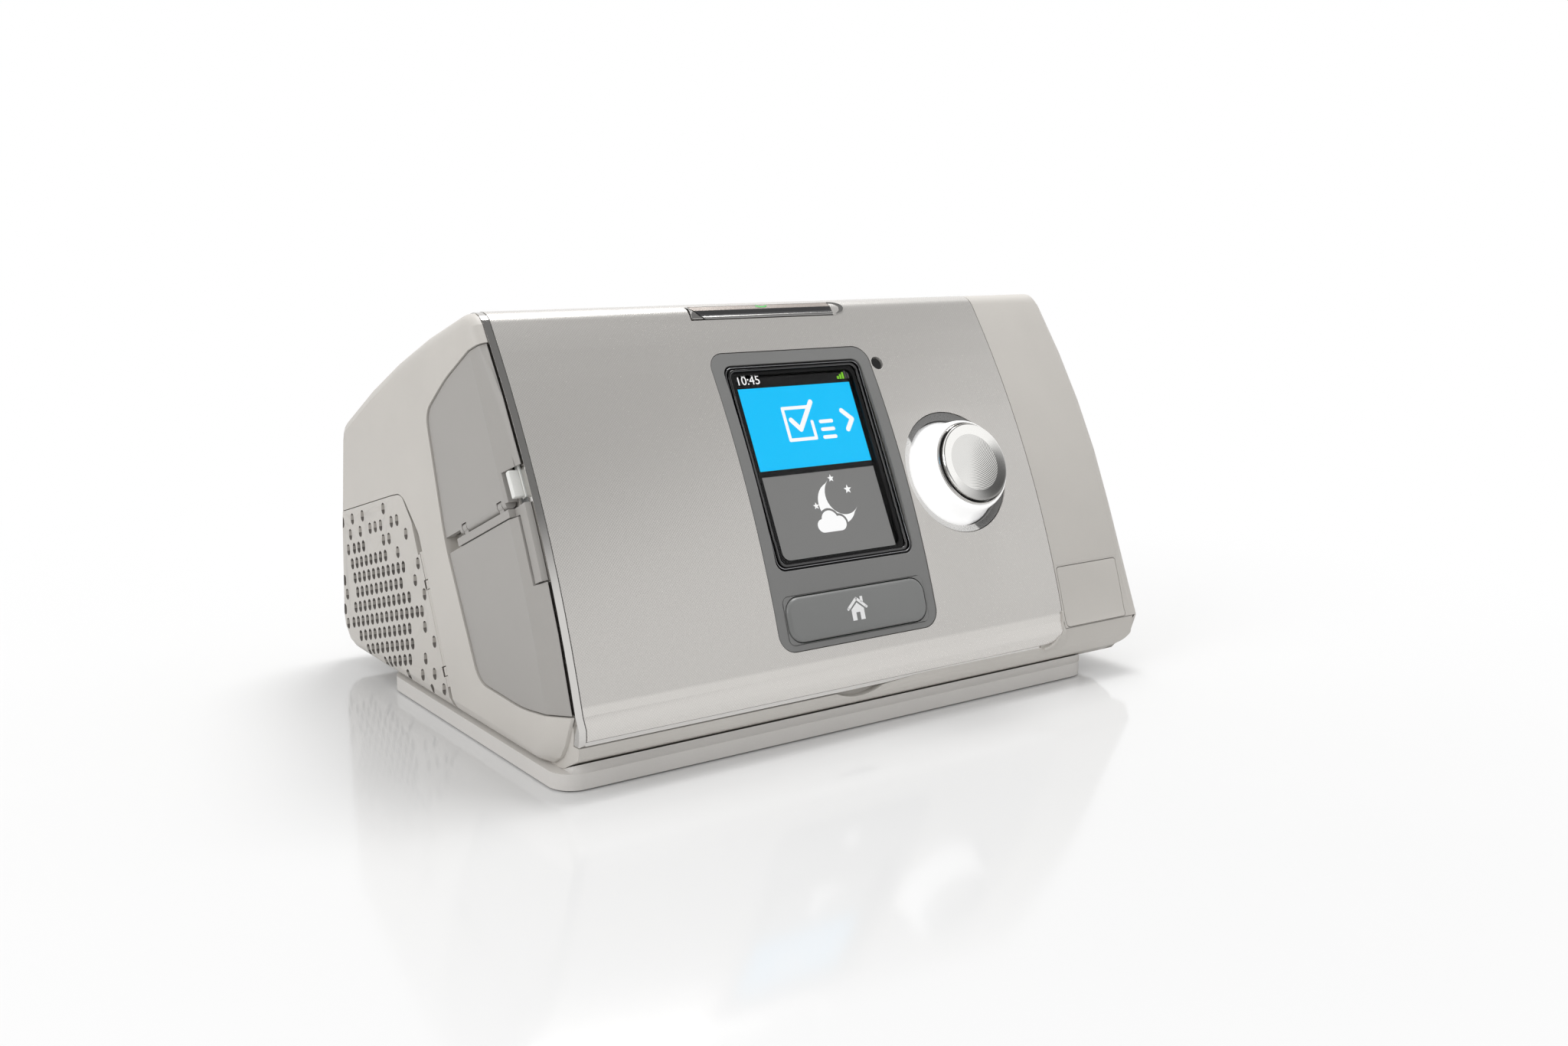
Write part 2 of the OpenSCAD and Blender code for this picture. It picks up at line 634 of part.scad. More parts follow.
module fascia() {
    color([0.74, 0.73, 0.71]) difference() {
        across(panel_x + edge_w + seam_gap, seam_x) difference() {
            polygon(fascia_band(0, face_t));
            translate([front_y - 2, lip_z - 1]) square([10, 2.2]);
        }
        on_face(screen_x, face_mid_t) rbox(bezel_w + 0.3, bezel_h + 0.3, 5.2, -8, 8);
        on_face(dial_x, dial_t) translate([0, 0, -8]) cylinder(r = well_r, h = 16);
        on_face(sensor_x, sensor_t) translate([0, 0, -8]) cylinder(r = 2.1, h = 16);
        start_slot(0.3, 1);
        fascia_corner(0);
    }
}

module fascia_trim() {
    color([0.6, 0.6, 0.61]) {
        across(panel_x + 0.1, panel_x + edge_w + 0.1) polygon(fascia_band(0.15, face_t));
        across(panel_x + edge_w, seam_x - corner_r - 0.5) intersection() {
            polygon(fascia_band(0.1, face_t));
            translate([front_y - 2, lip_z - 1]) square([10, 2.1]);
        }
    }
}

module screen_bezel() {
    color([0.5, 0.5, 0.5]) difference() {
        intersection() {
            across(screen_x - bezel_w, screen_x + bezel_w) polygon(fascia_band(0.1, face_t));
            on_face(screen_x, face_mid_t) rbox(bezel_w, bezel_h, 5, -9, 9);
        }
        on_face(screen_x, glass_t) rbox(glass_w + 0.3, glass_h + 0.3, 3, -9, 9);
        on_face(screen_x, home_t) rbox(home_w + 0.6, home_h + 0.6, 2.1, -9, 9);
    }
}

module screen_glass() {
    color([0.05, 0.05, 0.06]) intersection() {
        across(screen_x - glass_w, screen_x + glass_w) polygon(fascia_band(1, 2.2));
        on_face(screen_x, glass_t) rbox(glass_w, glass_h, 2.8, -9, 9);
    }
}

module lcd_module() {
    color([0.1, 0.75, 0.95]) on_face(screen_x, glass_t) {
        rbox(glass_w - 3.4, glass_h - 3.4, 1.8, -6.8, -3.75);
        rbox(glass_w - 12, glass_h - 14, 1, board_z + 1, -6.8);
    }
}

module main_board() {
    color([0.12, 0.36, 0.2]) on_face(0, face_mid_t) difference() {
        translate([board_x, 0.6, 0]) rbox(board_w, 86, 3, board_z - 1.6, board_z);
        for (p = posts) translate([p[0], p[1], board_z - 4]) cylinder(r = 1.2, h = 8);
    }
}

module board_screws() {
    color("silver") for (p = posts) on_face(0, face_mid_t) translate([p[0], p[1], board_z - 1.6]) {
        translate([0, 0, -1.2]) cylinder(r = 2.2, h = 1.2);
        translate([0, 0, -0.1]) cylinder(r = 1, h = 5);
    }
}

module light_sensor() {
    color([0.05, 0.05, 0.05]) on_face(sensor_x, sensor_t) {
        translate([0, 0, -6]) cylinder(r = 2, h = 5.2);
        translate([0, 0, -8.5]) cylinder(r = 1.2, h = 2.6);
    }
}

module dial_well() {
    color([0.88, 0.88, 0.88]) on_face(dial_x, dial_t) rotate_extrude($fn = 96) polygon([[8, -6.4],
        [well_r - 0.15, -6.4], [well_r - 0.15, -0.65], [well_r - 0.6, -0.65], [well_r - 1.5, -4.9], [8, -4.9]]);
}

module dial_encoder() {
    color([0.3, 0.3, 0.32]) on_face(dial_x, dial_t) difference() {
        union() {
            translate([-6, -6, board_z + 0.05]) cube([12, 12, 4]);
            translate([0, 0, board_z + 4]) cylinder(r = 5, h = 3.4);
        }
        translate([0, 0, board_z + 1.2]) cylinder(r = 3.5, h = 12);
    }
}

module dial_plunger() {
    color("silver") on_face(dial_x, dial_t) translate([0, 0, board_z + 2.4]) difference() {
        cylinder(r = 3.45, h = 7);
        translate([0, 0, 1.4]) cylinder(r = 2.5 + fit, h = 8);
    }
}

module dial_shaft() {
    color("silver") on_face(dial_x, dial_t) translate([0, 0, board_z + 4]) cylinder(r = 2.5, h = cap_h - 8.6 - board_z);
}

module dial_skirt() {
    color([0.92, 0.92, 0.92]) on_face(dial_x, dial_t) rotate_extrude($fn = 96) polygon(concat(
        [[2.5, -1.2], [6, -1.2], [6, 4.2], [cap_r - 1.2, 4.2], [skirt_r - 2.2, -3.4], [skirt_r, -3.4]],
        arc([skirt_r - 34, -6], 34, 4.4, 22.4, 8),
        [[cap_r + 0.9, cap_h - 1.4], [cap_r + 0.4, cap_h - 1.4], [cap_r + 0.4, cap_h - 3], [2.5, cap_h - 3]]));
}

dish_ball = (dish_r * dish_r + dish_depth * dish_depth) / (2 * dish_depth);
module dial_cap() {
    color([0.75, 0.75, 0.74]) on_face(dial_x, dial_t) difference() {
        rotate_extrude($fn = 96) polygon([[0, cap_h - 3], [cap_r - 0.3, cap_h - 3], [cap_r, cap_h - 2.6],
            [cap_r, cap_h - 0.6], [cap_r - 0.6, cap_h], [0, cap_h]]);
        translate([0, 0, cap_h + dish_ball - dish_depth]) sphere(r = dish_ball, $fn = 96);
    }
}

module home_switch() {
    color([0.2, 0.2, 0.2]) on_face(screen_x, face_mid_t) translate([0, face_mid_t - home_t, board_z + 0.02]) {
        translate([-3, -3, 0]) cube([6, 6, 2.2]);
        translate([0, 0, 2.1]) cylinder(r = 1.6, h = 0.5);
    }
}

module home_key() {
    color([0.47, 0.47, 0.47]) on_face(screen_x, home_t) {
        rbox(home_w, home_h, 1.8, -3.3, 0.8);
        rbox(home_w + 1.6, home_h + 1.6, 2.2, -3.8, -2.6);
        translate([0, 0, -5.4]) cylinder(r = 2, h = 2);
    }
}

module start_switch() {
    color([0.2, 0.2, 0.2]) on_ridge(start_x) {
        translate([-31, -4.2, switch_top - 1.6]) cube([62, 7.2, 1.6]);
        translate([-3, -4.2, switch_top - 0.1]) cube([6, 6, 2.3]);
        translate([0, 0, -1.5]) cylinder(r = 1.5, h = 0.6);
    }
}

module start_key() {
    color([0.55, 0.55, 0.55]) {
        intersection() {
            translate([start_x, ridge[0], ridge[1]]) rotate([0, 90, 0])
                cylinder(r = ridge_r + 0.2, h = start_w, center = true);
            start_slot(0, 1.4);
        }
        on_ridge(start_x) translate([-start_w / 2 - 0.8, -start_h / 2 - 0.8, 1.1])
            cube([start_w + 1.6, start_h + 1.6, 1.2]);
        on_ridge(start_x) cylinder(r = 1.4, h = 1.2);
    }
}

module card_reader() {
    color([0.7, 0.7, 0.72]) difference() {
        on_face(panel_x + 0.4 + reader_l / 2, card_t0) translate([0, 0, -card_depth - 0.6])
            cube([reader_l, card_w + 2.6, card_t + 2.2], center = true);
        // the card's slot, which leaves room to press it in
        card_place() translate([-0.45, 0, 0]) cube([card_l + 3.1, card_w + 0.4, card_t + 0.3], center = true);
    }
}

module memory_card() {
    color([0.95, 0.95, 0.93]) card_place() difference() {
        cube([card_l, card_w, card_t], center = true);
        translate([card_l / 2, card_w / 2, 0]) rotate([0, 0, 45]) cube([5, 5, 4], center = true);
    }
}

module card_cover() {
    color([0.64, 0.63, 0.61]) {
        difference() {
            cover_body(cover_area, cover_step, 2);
            card_hinge() translate([-20, -100, -100]) cube([40, 100, 300]);
            card_hinge() lug_room(card_barrel);
            // notch that shows the card's edge, and a pocket over the rest of the edge
            on_face(-half_w, card_t0 + 10) translate([-2, -8, -7.2]) cube([8, 14, 12]);
            card_place() translate([-card_l / 2 - 1.2, -card_w / 2 - 0.7, -card_t / 2 - 0.7])
                cube([3, card_w + 1.4, card_t + 1.4]);
        }
        card_hinge() hinge_edge(card_barrel, card_edge);
    }
}

module adapter_socket() {
    color([0.15, 0.15, 0.15]) translate([panel_x + 4.6, socket_at[0], socket_at[1]]) difference() {
        cube([9, 20, 10], center = true);
        translate([-3, 0, 0]) cube([9, 16, 6], center = true);
    }
}

module adapter_cover() {
    color([0.64, 0.63, 0.61]) {
        difference() {
            cover_body(cover_area, cover_step, 2);
            on_line(bar_a, bar_b, -half_w) translate([-20, -cover_gap, -100]) cube([40, 100, 300]);
            across(-half_w - 1, panel_x + 1) polygon(strip(rail_t[0] - 6, rail_t[1] + 0.4, -3, rail_d[1] + 0.4));
        }
        for (p = clip_at) box([-half_w + cover_step + 1, p[0] - 2, p[1] - 0.7], [panel_x + 1.6, p[0] + 2, p[1] + 0.7]);
    }
}

filter_lo = [port_lo[0] - 3, port_lo[1] - 3];
filter_hi = [port_hi[0] + 3, port_hi[1] + 3];
filter_x = panel_x + wall + 0.05;
module filter_frame() {
    color([0.5, 0.5, 0.5]) difference() {
        box([filter_x, filter_lo[0], filter_lo[1]], [filter_x + 5.6, filter_hi[0], filter_hi[1]]);
        box([filter_x - 1, filter_lo[0] + 1.4, filter_lo[1] + 1.4], [filter_x + 4.4, filter_hi[0] - 1.4, filter_hi[1] - 1.4]);
        box([filter_x, port_lo[0], port_lo[1]], [filter_x + 8, port_hi[0], port_hi[1]]);
    }
}

module air_filter() {
    color([0.93, 0.93, 0.9]) box([filter_x + 0.1, filter_lo[0] + 1.5, filter_lo[1] + 1.5],
        [filter_x + 4.3, filter_hi[0] - 1.5, filter_hi[1] - 1.5]);
}

// Rows of the grille: how far along the row the first slot lies, and how many slots there are.
rows = [[0.5, 3], [0, 8], [0.5, 11], [1, 10], [0.5, 12], [0, 14], [1.5, 11], [3, 10], [6.5, 6], [11, 1]];
row_tilt = 16.4;
grille_at = [rear_y - 11.8, 14.3];
grille_row = 5;
module grille() {
    for (r = [0 : len(rows) - 1], k = [0 : rows[r][1] - 1])
        let (along = (rows[r][0] + k) * slot_pitch, down = r - grille_row)
        translate([-half_w - 2, grille_at[0] - along * cos(row_tilt) + down * 0.15,
            grille_at[1] + along * sin(row_tilt) - down * row_pitch])
            rotate([90, 0, 90]) linear_extrude(cover_t + 3.2) slot();
}

module slot() {
    square([slot_w, slot_h - slot_w], center = true);
    for (s = [-1, 1]) translate([0, s * (slot_h - slot_w) / 2]) circle(slot_w / 2, $fn = 16);
}

// Room for the filter door's corners, which swing past the frame above the hinge and past the base below it.
module filter_relief() {
    top = [filter_area[4][0], filter_area[4][1]];
    rise = [filter_area[5][0], filter_area[5][1]] - top;
    side = [rise[1], -rise[0]] / norm(rise);
    filter_hinge() translate([-20, -1, filter_edge[1] - 0.5]) cube([40, 2.4, 20]);
    // undercut, so that the gap stays narrow at the face
    hull() for (k = [[-0.5, 1.1], [2.2, 3]]) across(-half_w + k[0], -half_w + k[0] + 3)
        polygon([top - 0.4 * rise, top - 0.4 * rise + k[1] * side, top + 0.95 * rise + k[1] / 3 * side, top + 0.95 * rise]);
    filter_hinge() translate([hinge_r - 0.2, -1, -2]) cube([20, 3.4, 4.6]);
}

module filter_cover() {
    color([0.78, 0.77, 0.75]) {
        difference() {
            cover_body(filter_area, 0, 2.5);
            filter_hinge() translate([-20, -100, -100]) cube([40, 100, 300]);
            filter_hinge() lug_room(filter_barrel);
            filter_relief();
            grille();
        }
        filter_hinge() hinge_edge(filter_barrel, filter_edge);
    }
}

muffler_x = filter_x + 5.7;
module inlet_muffler() {
    color([0.35, 0.35, 0.36]) difference() {
        union() {
            box([muffler_x, rear_y - 65, belly_z + wall + 0.3], [-58, rear_y - 12, 72]);
            box([-58.1, blower_y - 16, 60.5], [blower_x + 16, blower_y + 16, 72]);
        }
        box([muffler_x + 2, rear_y - 63, belly_z + wall + 2.3], [-60, rear_y - 14, 70]);
        box([muffler_x - 1, port_lo[0], port_lo[1]], [muffler_x + 3, port_hi[0], port_hi[1]]);
        box([-61, blower_y + 10, 62.5], [-57, blower_y + 14, 70]);
        box([-58, blower_y - 14, 62.5], [blower_x + 14, blower_y + 14, 70]);
        translate([blower_x, blower_y, 58]) cylinder(r = 10, h = 8);
    }
}

suspension_z = belly_z + wall + post_h + 0.1;
volute_z = suspension_z + 3;
volute_split = 32;
volute_top = 60.4;

module blower_suspension() {
    color([0.85, 0.5, 0.3]) translate([blower_x, blower_y, suspension_z - 0.05]) tube(volute_r - 2, volute_r - 12, 3);
}

module lower_volute() {
    color([0.3, 0.3, 0.32]) translate([blower_x, blower_y, volute_z]) difference() {
        cylinder(r = volute_r, h = volute_split - volute_z);
        translate([0, 0, 2]) cylinder(r = 15 + fit, h = volute_split);
        translate([0, 0, volute_split - volute_z - 4]) tube(volute_r - 2.5, 18, 10);
    }
}

module upper_volute() {
    color([0.32, 0.32, 0.34]) difference() {
        union() {
            translate([blower_x, blower_y, volute_split + 0.05]) cylinder(r = volute_r, h = volute_top - volute_split);
            translate([blower_x, bay_y[0], outlet_z]) rotate([0, 90, 0]) cylinder(r = outlet_r + 2, h = volute_r + 4);
        }
        translate([blower_x, blower_y, volute_split - 1]) cylinder(r = volute_r - 2.5, h = 27);
        translate([blower_x, blower_y, 50]) cylinder(r = 10, h = 20);
        translate([blower_x, bay_y[0], outlet_z]) rotate([0, 90, 0]) cylinder(r = duct_bore, h = volute_r + 10);
    }
}

module blower_motor() {
    color([0.2, 0.2, 0.22]) translate([blower_x, blower_y, volute_z + 2.05]) difference() {
        cylinder(r = 15, h = 14);
        translate([0, 0, -1]) cylinder(r = 2 + fit, h = 20);
    }
}

module blower_shaft() {
    color("silver") translate([blower_x, blower_y, volute_z + 2.6]) cylinder(r = 2, h = 32);
}

module impeller() {
    color([0.9, 0.9, 0.92]) translate([blower_x, blower_y, volute_split + 3]) difference() {
        union() {
            cylinder(r = impeller_r, h = 1.6);
            cylinder(r = 6, h = 12);
            for (i = [0 : blades - 1]) rotate([0, 0, i * 360 / blades]) translate([5, 0, 0.1]) rotate([0, 0, -30])
                cube([impeller_r * 0.76, 1.2, 11.4]);
        }
        translate([0, 0, -1]) cylinder(r = 2, h = 20);
    }
}

duct_x = blower_x + volute_r + 4.1;
module outlet_duct() {
    color([0.35, 0.35, 0.36]) translate([duct_x, bay_y[0], outlet_z]) rotate([0, 90, 0])
        tube(duct_r, duct_bore, bulk_x + 2 - duct_x);
}

module flow_sensor() {
    color([0.15, 0.4, 0.25]) translate([duct_x + 8, bay_y[0], outlet_z]) {
        rotate([0, 90, 0]) tube(duct_r + 1.4, duct_r + 0.02, 12);
        translate([1, -6, duct_r + 1]) cube([10, 12, 5]);
    }
}

bend_r = 14;
collar_y = rear_y - pocket_d + fit;
module outlet_elbow() {
    bend = [outlet_x + bend_r, bay_y[1] + bend_r, outlet_z];
    color([0.5, 0.5, 0.51]) {
        translate([bend[0], bay_y[1], outlet_z]) rotate([0, 90, 0]) tube(duct_r, duct_bore, bulk_x + 2 - bend[0]);
        translate(bend) rotate([0, 0, 180]) rotate_extrude(angle = 90, $fn = 96) translate([bend_r, 0]) difference() {
            circle(duct_r);
            circle(duct_bore);
        }
        translate([outlet_x, bend[1], outlet_z]) rotate([-90, 0, 0]) tube(duct_r, duct_bore, collar_y - bend[1]);
        translate([outlet_x, collar_y, outlet_z]) rotate([-90, 0, 0]) tube(outlet_r, duct_bore, rear_y - 0.6 - collar_y);
    }
}

module outlet_seal() {
    color([0.2, 0.2, 0.2]) translate([outlet_x, rear_y - pocket_d - wall - 1.5, outlet_z]) rotate([-90, 0, 0])
        tube(duct_r + 2, duct_r + 0.02, 1.4);
}

module power_inlet() {
    color([0.12, 0.12, 0.12]) translate([clip_x, rear_y - 0.6, power_z]) rotate([90, 0, 0]) difference() {
        rbox(18.8, 13.8, 3, 0, 16);
        rbox(15.4, 10.4, 2, -1, 12);
    }
}

module inlet_clip() {
    color([0.4, 0.4, 0.4]) translate([clip_x, clip_pin[0], clip_pin[1]]) {
        rotate([0, 90, 0]) cylinder(r = hinge_r, h = 22, center = true);
        rotate([0, 90, 0]) cylinder(r = pin_r, h = 25.4, center = true);
        translate([-10, -1, 0]) cube([20, 2, 14]);
    }
}

module bay_seals() {
    color([0.2, 0.2, 0.2]) for (y = bay_y) translate([bulk_x + wall, y, outlet_z]) rotate([0, 90, 0])
        tube(outlet_r + 3.5, duct_r + fit, 1.6);
}

module side_cover() {
    color([0.78, 0.77, 0.75]) difference() {
        intersection() {
            across(seam_x + seam_gap, cap_x) difference() {
                polygon(skin(0.1));
                polygon(skin(wall));
            }
            box([0, front_y - 1, lip_z], [half_w, rear_y + 1, body_h + 1]);
        }
        on_face(plate_x, plate_t) rbox(24.4, plate_h + 0.4, 1, -1.4, 4);
    }
}

module model_plate() {
    color([0.78, 0.77, 0.75]) intersection() {
        across(seam_x, half_w) polygon(fascia_band(0.1, 1.1));
        on_face(plate_x, plate_t) rbox(24, plate_h, 1, -4, 4);
    }
}

cap_slices = [[0, 0.9], [1.8, 1.4], [3.4, 2.8], [4.3, 5]];
module side_end_cap() {
    color([0.76, 0.75, 0.73]) intersection() {
        difference() {
            hull() for (s = cap_slices) across(cap_x + s[0], cap_x + s[0] + eps) polygon(skin(s[1], 0.5));
            across(0, half_w - 2) polygon(skin(6, 0.5));
        }
        right_end();
        box([0, front_y - 1, lip_z], [half_w, rear_y + 1, body_h + 1]);
    }
}

module bypass_duct() {
    x0 = bulk_x + wall + 1.7;
    color([0.5, 0.5, 0.5]) difference() {
        union() {
            for (y = bay_y) translate([x0, y, outlet_z]) rotate([0, 90, 0]) cylinder(r = outlet_r + 1.5, h = 12);
            box([x0 + 11.9, bay_y[0] - 14, outlet_z - 14], [half_w - 2.1, bay_y[1] + 14, outlet_z + 14]);
        }
        for (y = bay_y) translate([x0 - 1, y, outlet_z]) rotate([0, 90, 0]) cylinder(r = duct_bore, h = 16);
        box([x0 + 14, bay_y[0] - 12, outlet_z - 12], [half_w - 4.1, bay_y[1] + 12, outlet_z + 12]);
    }
}

lower_housing();
base_skirt();
rubber_feet();
housing_screws();
upper_housing();
bay_bulkhead();
side_panel();
cover_bar();
fascia();
fascia_trim();
screen_bezel();
screen_glass();
lcd_module();
main_board();
board_screws();
light_sensor();
dial_well();
dial_encoder();
home_switch();
start_switch();
card_reader();
adapter_socket();
filter_frame();
air_filter();
inlet_muffler();
blower_suspension();
lower_volute();
upper_volute();
blower_motor();
outlet_duct();
flow_sensor();
outlet_elbow();
outlet_pocket();
outlet_seal();
power_inlet();
bay_seals();
dial_plunger();
dial_shaft();
dial_skirt();
dial_cap();
home_key();
start_key();
card_cover();
memory_card();
adapter_cover();
filter_cover();
inlet_clip();
side_cover();
side_end_cap();
bypass_duct();
model_plate();
impeller();
blower_shaft();
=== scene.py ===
# Bilevel positive airway pressure machine: a bedside blower with a bowed silver front, in parts.
from math import atan2, cos, pi, radians, sin, sqrt

import bmesh
import bpy
from mathutils import Matrix, Vector


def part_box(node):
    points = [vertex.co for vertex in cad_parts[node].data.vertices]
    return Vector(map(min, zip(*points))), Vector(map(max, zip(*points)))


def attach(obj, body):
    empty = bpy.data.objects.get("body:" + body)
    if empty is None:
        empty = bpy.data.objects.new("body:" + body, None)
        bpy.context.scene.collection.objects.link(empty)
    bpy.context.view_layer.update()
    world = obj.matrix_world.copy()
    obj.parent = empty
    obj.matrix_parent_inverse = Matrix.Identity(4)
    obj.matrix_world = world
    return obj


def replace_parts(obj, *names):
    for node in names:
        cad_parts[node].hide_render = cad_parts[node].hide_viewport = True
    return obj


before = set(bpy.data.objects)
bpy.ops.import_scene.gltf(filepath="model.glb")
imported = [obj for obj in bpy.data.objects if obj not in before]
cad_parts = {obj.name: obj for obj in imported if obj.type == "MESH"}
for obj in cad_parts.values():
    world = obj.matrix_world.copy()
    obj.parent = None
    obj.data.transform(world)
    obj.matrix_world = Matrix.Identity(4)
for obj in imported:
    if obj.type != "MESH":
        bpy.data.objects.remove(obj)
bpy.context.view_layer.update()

MM = 0.001


# Camera.
# It stands to the machine's left, a little above its ridge, and looks down at the front.
CAMERA_PLACE = Vector((-280.56, -402.51, 147.99)) * MM
CAMERA_YAW = radians(36.442)
CAMERA_PITCH = radians(11.733)
CAMERA_ROLL = radians(0.969)
FOCAL_LENGTH = 36.65
SENSOR_WIDTH = 36

lens = bpy.data.cameras.new("camera")
lens.lens = FOCAL_LENGTH
lens.sensor_width = SENSOR_WIDTH
lens.clip_start = 0.01
camera = bpy.data.objects.new("camera", lens)
camera.matrix_world = (
    Matrix.Translation(CAMERA_PLACE)
    @ Matrix.Rotation(-CAMERA_YAW, 4, "Z")
    @ Matrix.Rotation(pi / 2 - CAMERA_PITCH, 4, "X")
    @ Matrix.Rotation(CAMERA_ROLL, 4, "Z")
)
bpy.context.scene.collection.objects.link(camera)
bpy.context.scene.camera = camera
bpy.context.scene.view_settings.view_transform = "Standard"


# Finishes.
# Every surface is a moulded, painted, plated or lit finish, mixed from patterns at the scale of the real one.
class Value:
    """A number or vector that varies over a surface; a sum on it adds a Math node."""

    def __init__(self, finish, socket):
        self.finish = finish
        self.socket = socket

    def math(self, operation, *inputs):
        return self.finish.add("Math", {"operation": operation}, dict(enumerate(inputs)))

    def __add__(self, other):
        return self.math("ADD", self, other)

    def __radd__(self, other):
        return self.math("ADD", other, self)

    def __sub__(self, other):
        return self.math("SUBTRACT", self, other)

    def __rsub__(self, other):
        return self.math("SUBTRACT", other, self)

    def __mul__(self, other):
        return self.math("MULTIPLY", self, other)

    def __rmul__(self, other):
        return self.math("MULTIPLY", other, self)

    def __lt__(self, other):
        return self.math("LESS_THAN", self, other)


class Finish:
    """The material of one kind of surface."""

    def __init__(self, name, colour, roughness, metallic=0.0, coat=0.0):
        self.material = bpy.data.materials.new(name)
        self.material.use_nodes = True
        self.tree = self.material.node_tree
        self.shader = self.tree.nodes["Principled BSDF"]
        self.colour = linear(colour)
        self.roughness = roughness
        self.set("Base Color", self.colour)
        self.set("Roughness", roughness)
        self.set("Metallic", metallic)
        self.set("Coat Weight", coat)
        self.place = self.add("TexCoord", {}, {}, "Object")

    def add(self, kind, settings, inputs, output=0):
        node = self.tree.nodes.new("ShaderNode" + kind)
        for key, value in settings.items():
            if key == "stops":
                for stop, (at, shade) in zip(node.color_ramp.elements, value):
                    stop.position = at
                    stop.color = (shade, shade, shade, 1)
            else:
                setattr(node, key, value)
        for key, value in inputs.items():
            self.put(node.inputs[key], value)
        return Value(self, node.outputs[output])

    def put(self, socket, value):
        if isinstance(value, Value):
            self.tree.links.new(value.socket, socket)
        else:
            socket.default_value = value

    def set(self, name, value):
        self.put(self.shader.inputs[name], value)

    def noise(self, size, detail=2.0, place=None):
        """Soft mottling from 0 to 1, with patches of this size in millimetres."""
        where = self.place if place is None else place
        return self.add("TexNoise", {}, {"Vector": where, "Scale": 1 / (size * MM), "Detail": detail})

    def ramp(self, value, low, high):
        return self.add("ValToRGB", {"stops": ((low, 0.0), (high, 1.0))}, {0: value})

    def mix(self, factor, first, second):
        return self.add("Mix", {"data_type": "RGBA"}, {0: factor, 6: first, 7: second}, 2)

    def bump(self, height, strength, depth):
        relief = {"Height": height, "Strength": strength, "Distance": depth * MM}
        self.set("Normal", self.add("Bump", {}, relief))


def linear(colour):
    """A colour as seen on screen, 0 to 255, as the linear colour that a shader takes."""
    parts = [c / 255 for c in colour]
    return tuple(p / 12.92 if p <= 0.04045 else ((p + 0.055) / 1.055) ** 2.4 for p in parts) + (1.0,)


def shade(colour, factor):
    return tuple(min(c * factor, 1.0) for c in colour[:3]) + (1.0,)


def moulded(name, colour, roughness=0.42, grain=0.35, depth=0.02, coat=0.0, metallic=0.0):
    """Plastic with the fine spark texture of its mould, handled a little smoother in patches."""
    finish = Finish(name, colour, roughness, metallic, coat)
    patches = finish.noise(24, 3.0)
    specks = finish.noise(grain, 1.0)
    tone = finish.ramp(patches * 0.7 + specks * 0.3, 0.3, 0.7)
    finish.set("Base Color", finish.mix(tone, shade(finish.colour, 0.965), shade(finish.colour, 1.03)))
    finish.set("Roughness", patches * 0.1 + specks * 0.06 + (roughness - 0.08))
    finish.bump(specks, 0.35, depth)
    return finish


# Dressing the moulded parts.
# The casing parts come from steel moulds, so each edge is eased and each curve runs smoothly.
def shown(name, mesh, body, finish):
    """A finished piece that rides on a body."""
    piece = bpy.data.objects.new(name, mesh)
    bpy.context.scene.collection.objects.link(piece)
    mesh.materials.clear()
    mesh.materials.append(finish.material)
    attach(piece, body)
    return piece


def smooth(mesh, angle=30):
    mesh.polygons.foreach_set("use_smooth", [True] * len(mesh.polygons))
    mesh.set_sharp_from_angle(angle=radians(angle))


def merged(node):
    """A copy of a CAD node's mesh with its loose triangles joined up."""
    form = bmesh.new()
    form.from_mesh(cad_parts[node].data)
    bmesh.ops.remove_doubles(form, verts=form.verts, dist=0.002 * MM)
    bmesh.ops.dissolve_limit(form, angle_limit=radians(0.4), verts=form.verts, edges=form.edges)
    return form


def ease(piece, edge, angle=32):
    rounding = piece.modifiers.new("eased edges", "BEVEL")
    rounding.width = edge * MM
    rounding.segments = 2
    rounding.limit_method = "ANGLE"
    rounding.angle_limit = radians(angle)
    rounding.harden_normals = True
    return piece


def dressed(node, body, finish, edge=0.3, angle=30, rule=None, outer=False):
    """A casing part over its CAD node, with eased edges; a rule moves its corners, in millimetres.

    With outer set, only the edges that stand out are eased, and inner corners keep their room.
    """
    form = merged(node)
    if rule:
        whole = form.verts[:] + form.edges[:] + form.faces[:]
        bmesh.ops.bisect_plane(form, geom=whole, plane_co=(SEAM_X * MM, 0, 0), plane_no=(1, 0, 0))
        bmesh.ops.triangulate(form, faces=[f for f in form.faces if len(f.verts) > 8])
        for corner in form.verts:
            corner.co = Vector(rule(*(corner.co / MM))) * MM
    if outer:
        weight = form.edges.layers.float.new("bevel_weight_edge")
        for side in form.edges:
            side[weight] = float(side.is_manifold and side.calc_face_angle_signed() > radians(32))
    mesh = bpy.data.meshes.new(node + "_skin")
    form.to_mesh(mesh)
    form.free()
    smooth(mesh, angle)
    piece = shown(node + "_skin", mesh, body, finish)
    if edge:
        ease(piece, edge)
        if outer:
            piece.modifiers[0].limit_method = "WEIGHT"
    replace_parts(piece, node)
    return piece


def plain(finish, *nodes):
    """CAD nodes that are shown as they are, in a finish."""
    for node in nodes:
        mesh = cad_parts[node].data
        mesh.materials.clear()
        mesh.materials.append(finish.material)


# Housings and base.
# Two moulded halves make the box, with a darker base under it that stands on rubber feet.
SHELL_COLOUR = (203, 199, 193)
shell = moulded("warm grey shell", SHELL_COLOUR, 0.45)
base_grey = moulded("darker base", (216, 213, 209), 0.5)
rubber = moulded("black rubber", (38, 38, 38), 0.75, 0.5, 0.03)

